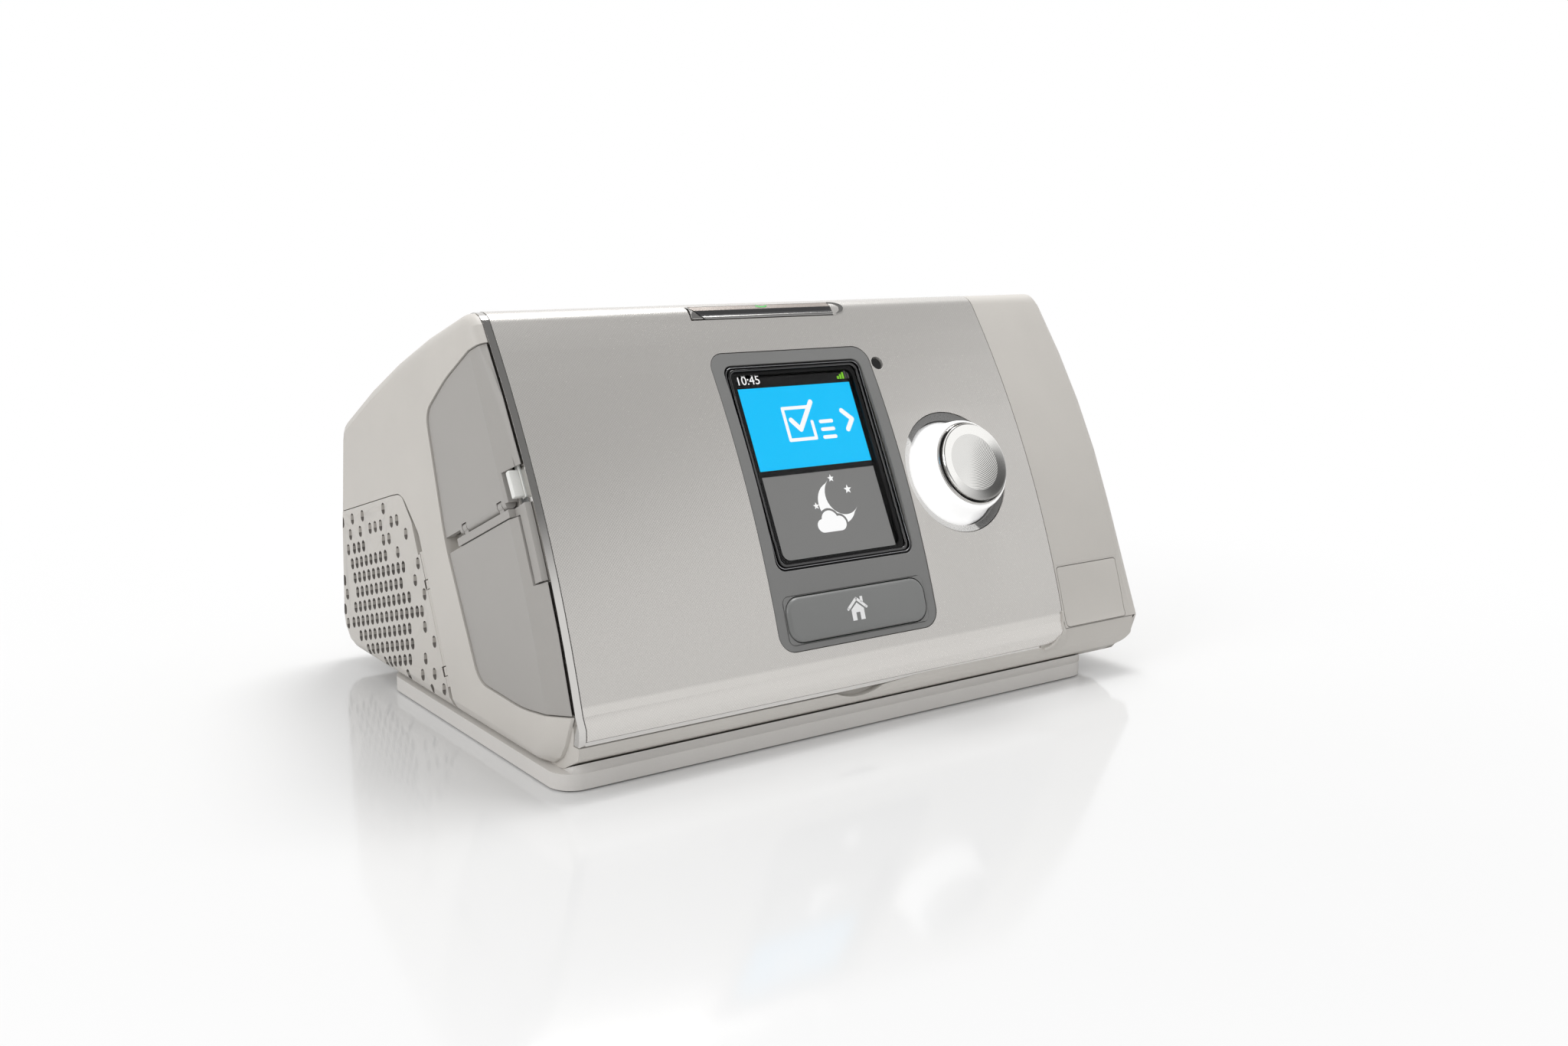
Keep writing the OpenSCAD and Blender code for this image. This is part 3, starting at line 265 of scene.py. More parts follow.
# The right end is a little longer than its CAD form, and the tray's band rises in front of the side module.
SEAM_X = 72.0
LONGER = 1.09
END_X = SEAM_X + (102.5 - SEAM_X) * LONGER
END_RADIUS = 10.0
END_Z = 19.4
BAND_TOP = 17.4
BAND_FRONT = -71.6
BAND_INSET = 0.5
END_BOW = 1.1
BOW_SPAN = (20, 112)
END_FACE = 101.2
TRAY_FLOOR = 12.2
CORNER_SLANT = 0.74
TOE_TOP = 12.7
TOE_FRONT = -72.5
TOE_CURVE = 0.06
BASE_LONGER = 2.6
BASE_STRETCH = (60, 70)


def longer(x):
    return x if x < SEAM_X + 0.2 else SEAM_X + (x - SEAM_X) * LONGER


def tray_shape(x, y, z):
    if x > SEAM_X - 0.05 and z > TRAY_FLOOR and (x > END_FACE or abs(y) > 73):
        y, z = max(y, BAND_FRONT), BAND_TOP - 0.1
        x = longer(x) - (BAND_INSET if x > END_FACE else 0)
    else:
        x = longer(x)
        if y < -60 and z < 13:
            y = max(y, TOE_FRONT + TOE_CURVE * (TOE_TOP - z) ** 2)
    if x > 90 and z < END_Z:
        reach = END_X - END_RADIUS + sqrt(max(END_RADIUS ** 2 - (END_Z - z) ** 2, 0))
        x = min(x, reach + CORNER_SLANT * min(y - BAND_FRONT, 0))
    return x, y, z


def module_shape(x, y, z):
    if z < BAND_TOP + 0.1:
        y, z = max(y, BAND_FRONT - 0.15), BAND_TOP + 0.1
    low, high = BOW_SPAN
    bow = END_BOW * sin(pi * (z - low) / (high - low)) if x > 98.3 and low < z < high else 0
    return longer(x) + bow, y, z


def base_shape(x, y, z):
    start, end = BASE_STRETCH
    return x + BASE_LONGER * min(max((x - start) / (end - start), 0), 1), y, z


dressed("upper_housing", "casing", shell, 0.25)
dressed("lower_housing", "casing", shell, 0.35, rule=tray_shape)
dressed("outlet_pocket", "casing", shell, 0.3)
dressed("base_skirt", "casing", base_grey, 0.6, rule=base_shape, outer=True)
plain(rubber, "rubber_feet")


# Left side.
# A bowed panel frames two darker covers, for the card and the adapter port, and the slotted filter door.
cover_grey = moulded("grey covers", (166, 163, 159), 0.42)
card_white = moulded("white card", (238, 238, 234), 0.35)

dressed("side_panel", "casing", shell, 0.5, outer=True)
dressed("cover_bar", "casing", cover_grey, 0.3)
dressed("card_cover", "card_door", cover_grey, 0.5)
dressed("adapter_cover", "adapter_door", cover_grey, 0.5)
dressed("memory_card", "card", card_white, 0.2)

# Shallow slots that run out beside the door's through slots, as (Y, Z) of each.
BLIND_SLOTS = (
    (69.4, 45.0), (61.3, 47.5), (53.1, 49.9), (36.7, 54.9), (71.4, 39.9), (63.3, 42.2), (55.2, 44.7),
    (47.3, 47.1), (43.2, 48.3), (39.0, 49.5), (30.9, 52.0), (26.8, 53.2), (65.4, 37.0), (37.2, 45.4),
    (33.0, 46.6), (20.5, 50.3), (26.8, 43.7), (71.8, 30.4), (12.6, 43.2), (69.7, 26.4), (14.9, 37.8),
    (71.9, 21.1), (67.8, 22.3), (8.7, 35.0), (70.1, 17.0), (67.9, 12.9), (10.8, 29.6), (9.0, 25.4),
    (70.2, 9.6), (2.9, 22.5), (9.2, 16.0), (11.5, 10.6), (3.3, 13.0), (5.3, 7.7), (-2.9, 10.1),
)
BLIND_DEPTH = 1.1
SLOT_WIDTH = 2.4
SLOT_LENGTH = 3.5
door_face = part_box("filter_cover")[0].x / MM

cutter = bmesh.new()
for y, z in BLIND_SLOTS:
    disc = bmesh.ops.create_cone(
        cutter, cap_ends=True, segments=20,
        radius1=SLOT_WIDTH / 2, radius2=SLOT_WIDTH / 2, depth=2 * BLIND_DEPTH,
    )["verts"]
    for corner in disc:
        corner.co.y += (SLOT_LENGTH - SLOT_WIDTH) / 2 * (1 if corner.co.y > 0 else -1)
    turn = Matrix.Rotation(pi / 2, 4, "Z") @ Matrix.Rotation(pi / 2, 4, "X")
    stand = Matrix.Scale(MM, 4) @ Matrix.Translation((door_face, y, z)) @ turn
    bmesh.ops.transform(cutter, matrix=stand, verts=disc)
cutter_mesh = bpy.data.meshes.new("slot_cutter")
cutter.to_mesh(cutter_mesh)
cutter.free()
cutter_object = bpy.data.objects.new("slot_cutter", cutter_mesh)
bpy.context.scene.collection.objects.link(cutter_object)

door_form = merged("filter_cover")
door_mesh = bpy.data.meshes.new("filter_door_blank")
door_form.to_mesh(door_mesh)
door_form.free()
door_blank = bpy.data.objects.new("filter_door_blank", door_mesh)
bpy.context.scene.collection.objects.link(door_blank)
cut = door_blank.modifiers.new("blind slots", "BOOLEAN")
cut.object = cutter_object
cut.solver = "EXACT"
bpy.context.view_layer.update()
door_cut = bpy.data.meshes.new_from_object(door_blank.evaluated_get(bpy.context.evaluated_depsgraph_get()))
door_cut.name = "filter_cover_skin"
# The open door would just touch the edge of its opening, so the visual one stands a little further back.
DOOR_BACK = 0.15
door_cut.transform(Matrix.Translation((0, DOOR_BACK * MM, 0)))
bpy.data.objects.remove(door_blank)
bpy.data.objects.remove(cutter_object)

# The walls of the slots lie in shade, so they are a darker piece of their own, told by their small faces.
WALL_AREA = 1.6
slot_walls = bmesh.new()
slot_walls.from_mesh(door_cut)
door_open = slot_walls.copy()
for part, kept in ((slot_walls, True), (door_open, False)):
    part.normal_update()
    walls = [abs(f.normal.x) < 0.3 and f.calc_area() < WALL_AREA * MM ** 2 for f in part.faces]
    others = [f for f, wall in zip(part.faces, walls) if wall is not kept]
    bmesh.ops.delete(part, geom=others, context="FACES")
door_open.to_mesh(door_cut)
door_open.free()
slot_mesh = bpy.data.meshes.new("filter_slot_walls")
slot_walls.to_mesh(slot_mesh)
slot_walls.free()
smooth(slot_mesh)
slot_shade = moulded("shaded slot walls", (124, 120, 116), 0.55)
shown("filter_slot_walls", slot_mesh, "filter_door", slot_shade)
smooth(door_cut)
door_skin = shown("filter_cover_skin", door_cut, "filter_door", shell)
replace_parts(ease(door_skin, 0.2, 40), "filter_cover")


# Front.
# The fascia is one bowed plate in silver paint with a fine woven texture, edged with a polished strip.
FACE_CENTRE = Vector((221.102, -68.189)) * MM
FACE_RADIUS = 305 * MM
CROWN = Vector((-26.0, 110.6)) * MM
CROWN_ANGLE = atan2(CROWN.y - FACE_CENTRE.y, CROWN.x - FACE_CENTRE.x)
WEAVE = 0.8


def front(x, t):
    """The frame at x, t millimetres down the front: X to the right, Y up the slope, Z outward."""
    angle = CROWN_ANGLE + t * MM / FACE_RADIUS
    out = Vector((0, cos(angle), sin(angle)))
    at = Vector((x * MM, FACE_CENTRE.x, FACE_CENTRE.y)) + out * FACE_RADIUS
    across = Vector((1, 0, 0))
    matrix = Matrix((across, out.cross(across), out)).transposed().to_4x4()
    return Matrix.Translation(at) @ matrix


def lay_out(mesh):
    """Coordinates that follow the bowed front, in millimetres across and down it."""
    layer = mesh.uv_layers.new(name="front")
    for loop in mesh.loops:
        x, y, z = mesh.vertices[loop.vertex_index].co
        angle = atan2(z - FACE_CENTRE.y, y - FACE_CENTRE.x)
        layer.data[loop.index].uv = (x / MM, (angle - CROWN_ANGLE) * FACE_RADIUS / MM)


def finished(name, form, at, body, finish, angle=30):
    """Places a shape drawn in millimetres and shows it."""
    bmesh.ops.recalc_face_normals(form, faces=form.faces)
    bmesh.ops.transform(form, matrix=at @ Matrix.Scale(MM, 4), verts=form.verts)
    mesh = bpy.data.meshes.new(name)
    form.to_mesh(mesh)
    form.free()
    smooth(mesh, angle)
    return shown(name, mesh, body, finish)


silver = Finish("silver woven paint", (206, 203, 199), 0.36, 0.42)
front_place = silver.add("UVMap", {"uv_map": "front"}, {})
front_xy = silver.add("SeparateXYZ", {}, {0: front_place})
front_t = Value(silver, front_xy.socket.node.outputs[1])
warp = front_xy.math("SINE", front_xy * (2 * pi / WEAVE))
weft = front_t.math("SINE", front_t * (2 * pi / WEAVE))
weave = warp * weft * 0.5 + 0.5
speck = silver.noise(0.25, 1.0)
silver_tone = silver.ramp(weave * 0.5 + speck * 0.5, 0.25, 0.8)
# Below the crease, STRIP_T down the front, the silver is painted lighter: a painted reflection.
STRIP_T = 99.4
strip = silver.ramp(front_t * (1 / STRIP_T) - 0.5, 0.497, 0.503)
woven = silver.mix(silver_tone, shade(silver.colour, 0.9), shade(silver.colour, 1.08))
painted_reflection_tone = silver.mix(silver_tone, shade(silver.colour, 1.08), shade(silver.colour, 1.26))
silver.set("Base Color", silver.mix(strip, woven, painted_reflection_tone))
silver.set("Roughness", speck * 0.1 + silver.noise(30) * 0.04 + 0.18)
silver.bump(weave + speck * 0.5, 0.45, 0.035)
chrome = Finish("polished plating", (206, 204, 201), 0.1, 1.0)
chrome.set("Roughness", chrome.noise(6) * 0.08 + 0.06)

fascia = dressed("fascia", "casing", silver, 0.3)
lay_out(fascia.data)
dressed("fascia_trim", "casing", chrome, 0.7)

# A thin lip of the shell goes on round the lower right corner of the fascia.
CORNER_AT = (62.0, 22.7)
bend = bmesh.new()
LIP_PROFILE = ((9.6, 0.8), (10.25, 0.8), (10.25, -0.4), (10.1, -0.55), (9.6, -0.55))
bend.faces.new([bend.verts.new((r, y, 0)) for r, y in LIP_PROFILE])
bmesh.ops.spin(bend, geom=bend.faces[:], cent=(0, 0, 0), axis=(0, 1, 0), angle=pi / 2, steps=16)
for corner in bend.verts:
    x, y, z = corner.co.x + CORNER_AT[0], corner.co.y, corner.co.z + CORNER_AT[1]
    bow = FACE_CENTRE.x / MM - sqrt((FACE_RADIUS / MM) ** 2 - (z - FACE_CENTRE.y / MM) ** 2)
    corner.co = (x, y + bow, z)
finished("fascia_corner_lip", bend, Matrix.Identity(4), "casing", shell, 40)


# Card end.
# The white card rests in the reader behind its cover, and its end stands out in the cover's notch.
CARD_T = 32.0
CARD_END_AT = (-100.05, -8.1, -4.4)
CARD_END_SIZE = (2.9, 7.2, 1.8)
card_end = bmesh.new()
card_place = Matrix.Translation(CARD_END_AT) @ Matrix.Diagonal((*CARD_END_SIZE, 1))
bmesh.ops.create_cube(card_end, size=1, matrix=card_place)
ease(finished("card_end", card_end, front(0, CARD_T), "card", card_white, 30), 0.3)


# Screen.
# A grey surround holds a recessed glass with a black printed frame; the display behind it is lit.
surround = moulded("grey surround", (126, 126, 125), 0.4, 0.3, 0.012)
glass = Finish("coated screen glass", (250, 250, 250), 0.03)
glass.set("Transmission Weight", 1.0)
glass.set("IOR", 1.12)
glass.set("Roughness", glass.noise(40) * 0.02 + 0.01)
black_gloss = Finish("black display frame", (10, 10, 11), 0.12)
black_gloss.set("Specular IOR Level", 0.15)
black_gloss.set("Roughness", black_gloss.noise(20) * 0.06 + 0.08)
black_edge = Finish("polished black edge", (14, 14, 15), 0.08, 0.0, 1.0)
black_edge.set("Roughness", black_edge.noise(20) * 0.05 + 0.06)
dark_chrome = Finish("dark plating", (150, 150, 152), 0.12, 1.0)
dark_chrome.set("Roughness", dark_chrome.noise(5) * 0.08 + 0.08)


def lit(name, colour, power=1.0):
    """A part of the display that gives off its own light."""
    finish = Finish(name, colour, 0.5)
    finish.set("Base Color", shade(finish.colour, 0.02))
    finish.set("Specular IOR Level", 0.1)
    glow = finish.mix(finish.noise(0.2, 0.0), shade(finish.colour, 0.98), finish.colour)
    finish.set("Emission Color", glow)
    finish.set("Emission Strength", power)
    return finish


display_blue = lit("display blue", (17, 196, 255))
display_grey = lit("display grey", (125, 125, 124))
display_white = lit("display white", (255, 255, 255))
display_green = lit("display green", (126, 200, 50))
display_dim = lit("display unlit bars", (70, 70, 70))

dressed("screen_bezel", "casing", surround, 0.5)
dressed("screen_glass", "casing", glass, 0.3)
plain(black_gloss, "lcd_module")

SCREEN_X = -6.0
GLASS_T = 43.3
LCD_DEPTH = -3.75
PRINT = 0.04


def corners_of(made):
    """The corners among the parts that an operator made."""
    return [part for part in made["geom"] if isinstance(part, bmesh.types.BMVert)]


def round_corners(form, corners, radius, segments):
    bmesh.ops.bevel(
        form, geom=corners, offset=radius, segments=segments, affect="VERTICES", profile=0.5, material=-1
    )


def frame_ring(name, at, outer, inner, low, high, corner, body, finish):
    """A rectangular ring with rounded corners, sizes in millimetres."""
    form = bmesh.new()
    rings = []
    for (width, height), radius in ((outer, corner[0]), (inner, corner[1])):
        made = bmesh.ops.create_grid(form, x_segments=1, y_segments=1, size=0.5)["verts"]
        bmesh.ops.scale(form, vec=(width, height, 1), verts=made)
        round_corners(form, made, radius, 6)
        rings.append(set(form.verts) - set(rings[0] if rings else ()))
    bmesh.ops.delete(form, geom=form.faces[:], context="FACES_ONLY")
    bmesh.ops.bridge_loops(form, edges=form.edges[:])
    bmesh.ops.translate(form, vec=(0, 0, low), verts=form.verts)
    lifted = corners_of(bmesh.ops.extrude_face_region(form, geom=form.faces[:]))
    bmesh.ops.translate(form, vec=(0, 0, high - low), verts=lifted)
    return finished(name, form, at, body, finish, 40)


def pictogram(name, at, height, body, finish, bars=(), discs=(), shapes=()):
    """Thin flat marks: bars (x, y, x, y, width) with round ends, discs (x, y, radius) and outlines."""
    form = bmesh.new()
    for x0, y0, x1, y1, width in bars:
        along = Vector((x1 - x0, y1 - y0))
        side = Vector((-along.y, along.x)).normalized() * width / 2
        start, end = Vector((x0, y0)), Vector((x1, y1))
        strip = (start + side, start - side, end - side, end + side)
        form.faces.new([form.verts.new((p.x, p.y, height)) for p in strip])
        discs = discs + ((x0, y0, width / 2), (x1, y1, width / 2))
    for x, y, radius in discs:
        place = Matrix.Translation((x, y, height))
        bmesh.ops.create_circle(form, cap_ends=True, segments=24, radius=radius, matrix=place)
    for outline in shapes:
        form.faces.new([form.verts.new((x, y, height)) for x, y in outline])
    bmesh.ops.recalc_face_normals(form, faces=form.faces)
    for face in form.faces:
        if face.normal.z < 0:
            face.normal_flip()
    risen = corners_of(bmesh.ops.extrude_face_region(form, geom=form.faces[:]))
    bmesh.ops.translate(form, vec=(0, 0, PRINT), verts=risen)
    return finished(name, form, at, body, finish)


def oblong(x0, x1, y0, y1):
    return ((x0, y0), (x1, y0), (x1, y1), (x0, y1))


lcd = front(SCREEN_X, GLASS_T)
frame_ring(
    "display_frame", lcd, (48.4, 60.0), (41.8, 54.6), -3.6, -2.3, (2.4, 2.4),
    "casing", black_gloss,
)
lip = frame_ring(
    "display_lip", lcd, (46.2, 58.2), (44.6, 56.8), -2.28, -1.75, (2.4, 2.0),
    "casing", black_edge,
)
ease(lip, 0.25)
wire = frame_ring(
    "display_wire", lcd, (48.0, 59.4), (47.5, 58.9), -2.2, -1.7, (2.6, 2.5),
    "casing", dark_chrome,
)
ease(wire, 0.12)
pictogram("tile_blue", lcd, LCD_DEPTH, "casing", display_blue, shapes=(oblong(-20.5, 20.0, -0.9, 23.7),))
pictogram("tile_grey", lcd, LCD_DEPTH, "casing", display_grey, shapes=(oblong(-20.5, 20.0, -27.4, -2.7),))
# A ticked box beside a short list, on the blue tile, and an arrow to the next page.
ICON = LCD_DEPTH + PRINT
pictogram(
    "icon_list", lcd, ICON, "casing", display_white,
    bars=(
        (-6.6, 7.4, -6.6, 17.0, 1.0), (-6.6, 17.0, 2.6, 17.0, 1.0), (2.6, 7.4, 2.6, 12.4, 1.0),
        (-6.6, 7.4, 2.6, 7.4, 1.0), (-4.6, 13.4, -2.0, 10.4, 1.5), (-2.0, 10.4, 3.9, 18.4, 1.5),
        (5.6, 12.2, 9.6, 12.2, 1.1), (5.6, 9.8, 9.6, 9.8, 1.1), (5.6, 7.4, 9.6, 7.4, 1.1),
        (14.2, 15.0, 17.2, 12.2, 1.5), (17.2, 12.2, 14.8, 9.2, 1.5),
    ),
)
# A crescent behind a cloud, and three small stars, on the grey tile.
MOON = 6.4
MOON_AT = (3.2, -12.4)
crescent = [(MOON * cos(radians(a)), MOON * sin(radians(a))) for a in range(110, 331, 10)]
crescent += [(2.6 + 5.9 * cos(radians(a)), 2.2 + 5.9 * sin(radians(a))) for a in range(318, 118, -10)]
CLOUD = ((-3.6, -18.6, 2.0), (-0.8, -17.2, 2.9), (2.4, -18.4, 2.2))


def star(x, y, radius):
    spikes = [(radius if i % 2 else radius * 0.42, radians(90 + 36 * i + 36)) for i in range(10)]
    return [(x + r * cos(a), y + r * sin(a)) for r, a in spikes]


pictogram(
    "icon_night", lcd, ICON, "casing", display_white,
    shapes=(
        [(x + MOON_AT[0], y + MOON_AT[1]) for x, y in crescent],
        star(3.5, -5.0, 1.2), star(8.4, -8.8, 1.4), star(-4.2, -12.6, 1.1),
    ),
)
pictogram(
    "icon_cloud_edge", lcd, ICON + PRINT, "casing", display_grey,
    discs=tuple((x, y, r + 0.7) for x, y, r in CLOUD), shapes=(oblong(-3.6, 2.4, -21.2, -17.0),),
)
pictogram(
    "icon_cloud", lcd, ICON + 2 * PRINT, "casing", display_white,
    discs=CLOUD, shapes=(oblong(-3.6, 2.4, -20.6, -17.0),),
)
SIGNAL = [oblong(16.1 + 0.95 * i, 16.8 + 0.95 * i, 24.8, 25.7 + 0.55 * i) for i in range(5)]
pictogram("signal_on", lcd, ICON, "casing", display_green, shapes=SIGNAL[:3])
pictogram("signal_off", lcd, ICON, "casing", display_dim, shapes=SIGNAL[3:])


def numerals(name, words, size, at, height, body, finish):
    """Numbers drawn as a thin flat mesh."""
    text = bpy.data.curves.new(name, "FONT")
    text.body = words
    text.size = size
    text.align_x = "LEFT"
    text.extrude = PRINT / 2
    text.resolution_u = 4
    holder = bpy.data.objects.new(name + "_text", text)
    bpy.context.scene.collection.objects.link(holder)
    bpy.context.view_layer.update()
    mesh = bpy.data.meshes.new_from_object(holder.evaluated_get(bpy.context.evaluated_depsgraph_get()))
    bpy.data.objects.remove(holder)
    mesh.transform(at @ Matrix.Scale(MM, 4) @ Matrix.Translation((0, 0, height + PRINT / 2)))
    mesh.name = name
    return shown(name, mesh, body, finish)


clock_place = lcd @ Matrix.Translation(Vector((-19.9, 24.9, 0)) * MM)
numerals("clock", "10:45", 3.8, clock_place, ICON, "casing", display_white)


# Keys and the light sensor.
# The home key is a grey rocker with a printed house; the start key lies on the ridge with a lit ring.
key_grey = moulded("grey key", (126, 127, 126), 0.36, 0.3, 0.012, 0.1)
white_print = Finish("white print", (250, 250, 250), 0.5)
white_print.set("Base Color", white_print.mix(white_print.noise(0.3), (0.9, 0.9, 0.9, 1), (1, 1, 1, 1)))
sensor_black = Finish("sensor window", (8, 8, 9), 0.06, 0.0, 1.0)
sensor_black.set("Roughness", sensor_black.noise(3) * 0.05 + 0.04)

dressed("light_sensor", "casing", sensor_black, 0.25)

HOME_T = 87.3
KEY_RISE = 0.8
KEY_SIZE = (49.2, 12.6)
KEY_CORNER = 4.4
KEY_EDGE = 1.3
KEY_DEPTH = 3.3
home = front(SCREEN_X, HOME_T)
window = [(KEY_SIZE[0] + gap, KEY_SIZE[1] + gap) for gap in (0.7, 0.5)]
frame_ring(
    "key_corners", home, window[0], window[1], -1.6, -0.04, (1.8, KEY_CORNER + 0.3),
    "casing", surround,
)
pillow = bmesh.new()
plate = bmesh.ops.create_grid(pillow, x_segments=1, y_segments=1, size=0.5)["verts"]
bmesh.ops.scale(pillow, vec=(KEY_SIZE[0], KEY_SIZE[1], 1), verts=plate)
round_corners(pillow, plate, KEY_CORNER, 8)
bmesh.ops.translate(pillow, vec=(0, 0, -KEY_DEPTH), verts=pillow.verts)
crown = corners_of(bmesh.ops.extrude_face_region(pillow, geom=pillow.faces[:]))
bmesh.ops.translate(pillow, vec=(0, 0, KEY_DEPTH + KEY_RISE), verts=crown)
rim = [e for e in pillow.edges if all(v.co.z > KEY_RISE - 0.01 for v in e.verts)]
bmesh.ops.bevel(pillow, geom=rim, offset=KEY_EDGE, segments=5, affect="EDGES", profile=0.5, material=-1)
# The stem ends just short of the switch, so that there is room for the press.
STEM_LENGTH = 1.95
STEM_AT = Matrix.Translation((0, 0, -4.17))
bmesh.ops.create_cone(
    pillow, cap_ends=True, segments=32, radius1=2, radius2=2, depth=STEM_LENGTH, matrix=STEM_AT
)
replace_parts(finished("home_key_skin", pillow, home, "home_button", key_grey, 50), "home_key")
HOUSE_X = -0.8
house = (
    (-2.2, -2.9), (-0.7, -2.9), (-0.7, -0.7), (0.7, -0.7), (0.7, -2.9), (2.2, -2.9), (2.2, 0.2), (0, 2.0),
    (-2.2, 0.2),
)
pictogram(
    "icon_house", home, KEY_RISE, "home_button", white_print,
    bars=((HOUSE_X - 3.2, 0.5, HOUSE_X, 3.2, 0.8), (HOUSE_X, 3.2, HOUSE_X + 3.2, 0.5, 0.8)),
    shapes=([(x + HOUSE_X, y) for x, y in house], oblong(HOUSE_X + 1.4, HOUSE_X + 2.3, 2.0, 3.6)),
)

RIDGE = Vector((-18.8, 109.6)) * MM
START_ENDS = (-35.0, 15.0)
START_SLANT = 1.05
RIDGE_TILT = radians(45)
ridge_place = Matrix.Translation((0, RIDGE.x, RIDGE.y)) @ Matrix.Rotation(RIDGE_TILT, 4, "X")
key_metal = Finish("start key metal", (158, 150, 144), 0.22, 0.85)
key_metal.set("Roughness", key_metal.noise(8) * 0.1 + 0.14)
# The key's front face takes a darker copy of its metal, and its lip a lighter one.
darker_key_metal = Finish("darker key metal", (104, 104, 105), 0.2, 0.85)
darker_key_metal.set("Roughness", darker_key_metal.noise(8) * 0.1 + 0.14)
satin = Finish("satin metal", (176, 175, 173), 0.25, 0.9)
satin.set("Roughness", satin.noise(8) * 0.1 + 0.2)
ring_green = lit("ring light", (120, 220, 130), 1.0)


def along_ridge(name, profile, ends, body, finish, edge):
    """A strip along the ridge from its profile, (up the slope, outward), with a slanted left end."""
    form = bmesh.new()
    form.faces.new([form.verts.new((ends[0], y, z)) for y, z in profile])
    far_end = corners_of(bmesh.ops.extrude_face_region(form, geom=form.faces[:]))
    bmesh.ops.translate(form, vec=(ends[1] - ends[0], 0, 0), verts=far_end)
    for corner in form.verts:
        if corner.co.x < (ends[0] + ends[1]) / 2:
            corner.co.x += (2.3 - corner.co.y) * START_SLANT
    return ease(finished(name, form, ridge_place, body, finish), edge)


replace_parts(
    along_ridge(
        "start_key_bar", ((2.3, 1.2), (2.3, 6.12), (0.5, 6.62), (0.42, 6.2), (0.42, 1.2)),
        START_ENDS, "start_button", key_metal, 0.12,
    ),
    "start_key",
)
along_ridge(
    "start_key_front", ((0.5, 1.2), (0.5, 6.61), (-0.95, 6.3), (-1.05, 6.1), (-1.05, 1.2)),
    START_ENDS, "start_button", darker_key_metal, 0.12,
)
along_ridge(
    "start_key_lip", ((-1.1, 1.2), (-1.1, 6.16), (-1.6, 6.3), (-2.2, 6.16), (-2.3, 1.2)),
    (-35.0, 15.4), "start_button", satin, 0.15,
)
# The bright left tip, and the conical scoop at the right end.
along_ridge(
    "start_key_tip", ((2.2, 4.0), (2.2, 6.22), (0.5, 6.66), (-0.95, 6.36), (-2.1, 6.2), (-2.1, 4.0)),
    (-35.5, -34.7), "start_button", chrome, 0.15,
)
SCOOP_X = 15.1
SCOOP_REACH = 4.7
SCOOP_HALF = 2.4
SCOOP_DEPTH = 0.9
SCOOP_WALL = 0.6
ROUND_RIDGE = 6.58
scoop = bmesh.new()
bmesh.ops.create_cone(scoop, cap_ends=False, segments=48, radius1=1, radius2=0, depth=1)
bmesh.ops.delete(scoop, geom=[f for f in scoop.faces if f.calc_center_median().x < 0], context="FACES")
for corner in scoop.verts:
    reach = corner.co.xy.length
    corner.co.x = SCOOP_X + corner.co.x * SCOOP_REACH
    corner.co.y *= SCOOP_HALF
    corner.co.z = sqrt(ROUND_RIDGE ** 2 - corner.co.y ** 2) - SCOOP_DEPTH * (1 - reach) + 0.08
for corner in corners_of(bmesh.ops.extrude_edge_only(scoop, edges=[e for e in scoop.edges if e.is_boundary])):
    corner.co.z -= SCOOP_WALL
finished("start_scoop", scoop, ridge_place, "casing", chrome, 20)
pictogram(
    "start_ring_light", ridge_place, 6.5, "start_button", ring_green,
    bars=((-11.2, 1.7, -10.2, 1.3, 0.4), (-10.2, 1.3, -8.6, 1.25, 0.4), (-8.6, 1.25, -7.6, 1.6, 0.4)),
)


# Dial.
# A white skirt stands in a round silver recess, with a plated ring and a turned metal cap that is dished.
DIAL_X = 41.9
DIAL_T = 51.4
TURNS = 128
dial = front(DIAL_X, DIAL_T)


def turned(name, profile, body, finish, closed=True, angle=30):
    """A round piece: a profile of (radius, height) in millimetres, turned about its axis."""
    form = bmesh.new()
    line = [form.verts.new((r, 0, h)) for r, h in profile]
    edges = [form.edges.new(pair) for pair in zip(line, line[1:] + (line[:1] if closed else []))]
    bmesh.ops.spin(
        form, geom=line + edges, cent=(0, 0, 0), axis=(0, 0, 1), angle=2 * pi, steps=TURNS, use_merge=True
    )
    bmesh.ops.remove_doubles(form, verts=form.verts, dist=0.0005)
    return finished(name, form, dial, body, finish, angle)


def dial_frame(finish):
    """The place in the dial's own frame, with Z along its axis."""
    mapping = finish.tree.nodes.new("ShaderNodeMapping")
    mapping.vector_type = "TEXTURE"
    mapping.inputs["Location"].default_value = dial.to_translation()
    mapping.inputs["Rotation"].default_value = dial.to_euler()
    finish.put(mapping.inputs["Vector"], finish.place)
    return Value(finish, mapping.outputs[0])


def about_dial(finish, off_x=0.0, off_y=0.0):
    """The distance from a line beside the dial's axis."""
    off = (off_x * MM, off_y * MM, 0)
    shifted = finish.add("VectorMath", {"operation": "SUBTRACT"}, {0: dial_frame(finish), 1: off})
    flat = finish.add("VectorMath", {"operation": "MULTIPLY"}, {0: shifted, 1: (1, 1, 0)})
    return finish.add("VectorMath", {"operation": "LENGTH"}, {0: flat}, "Value")
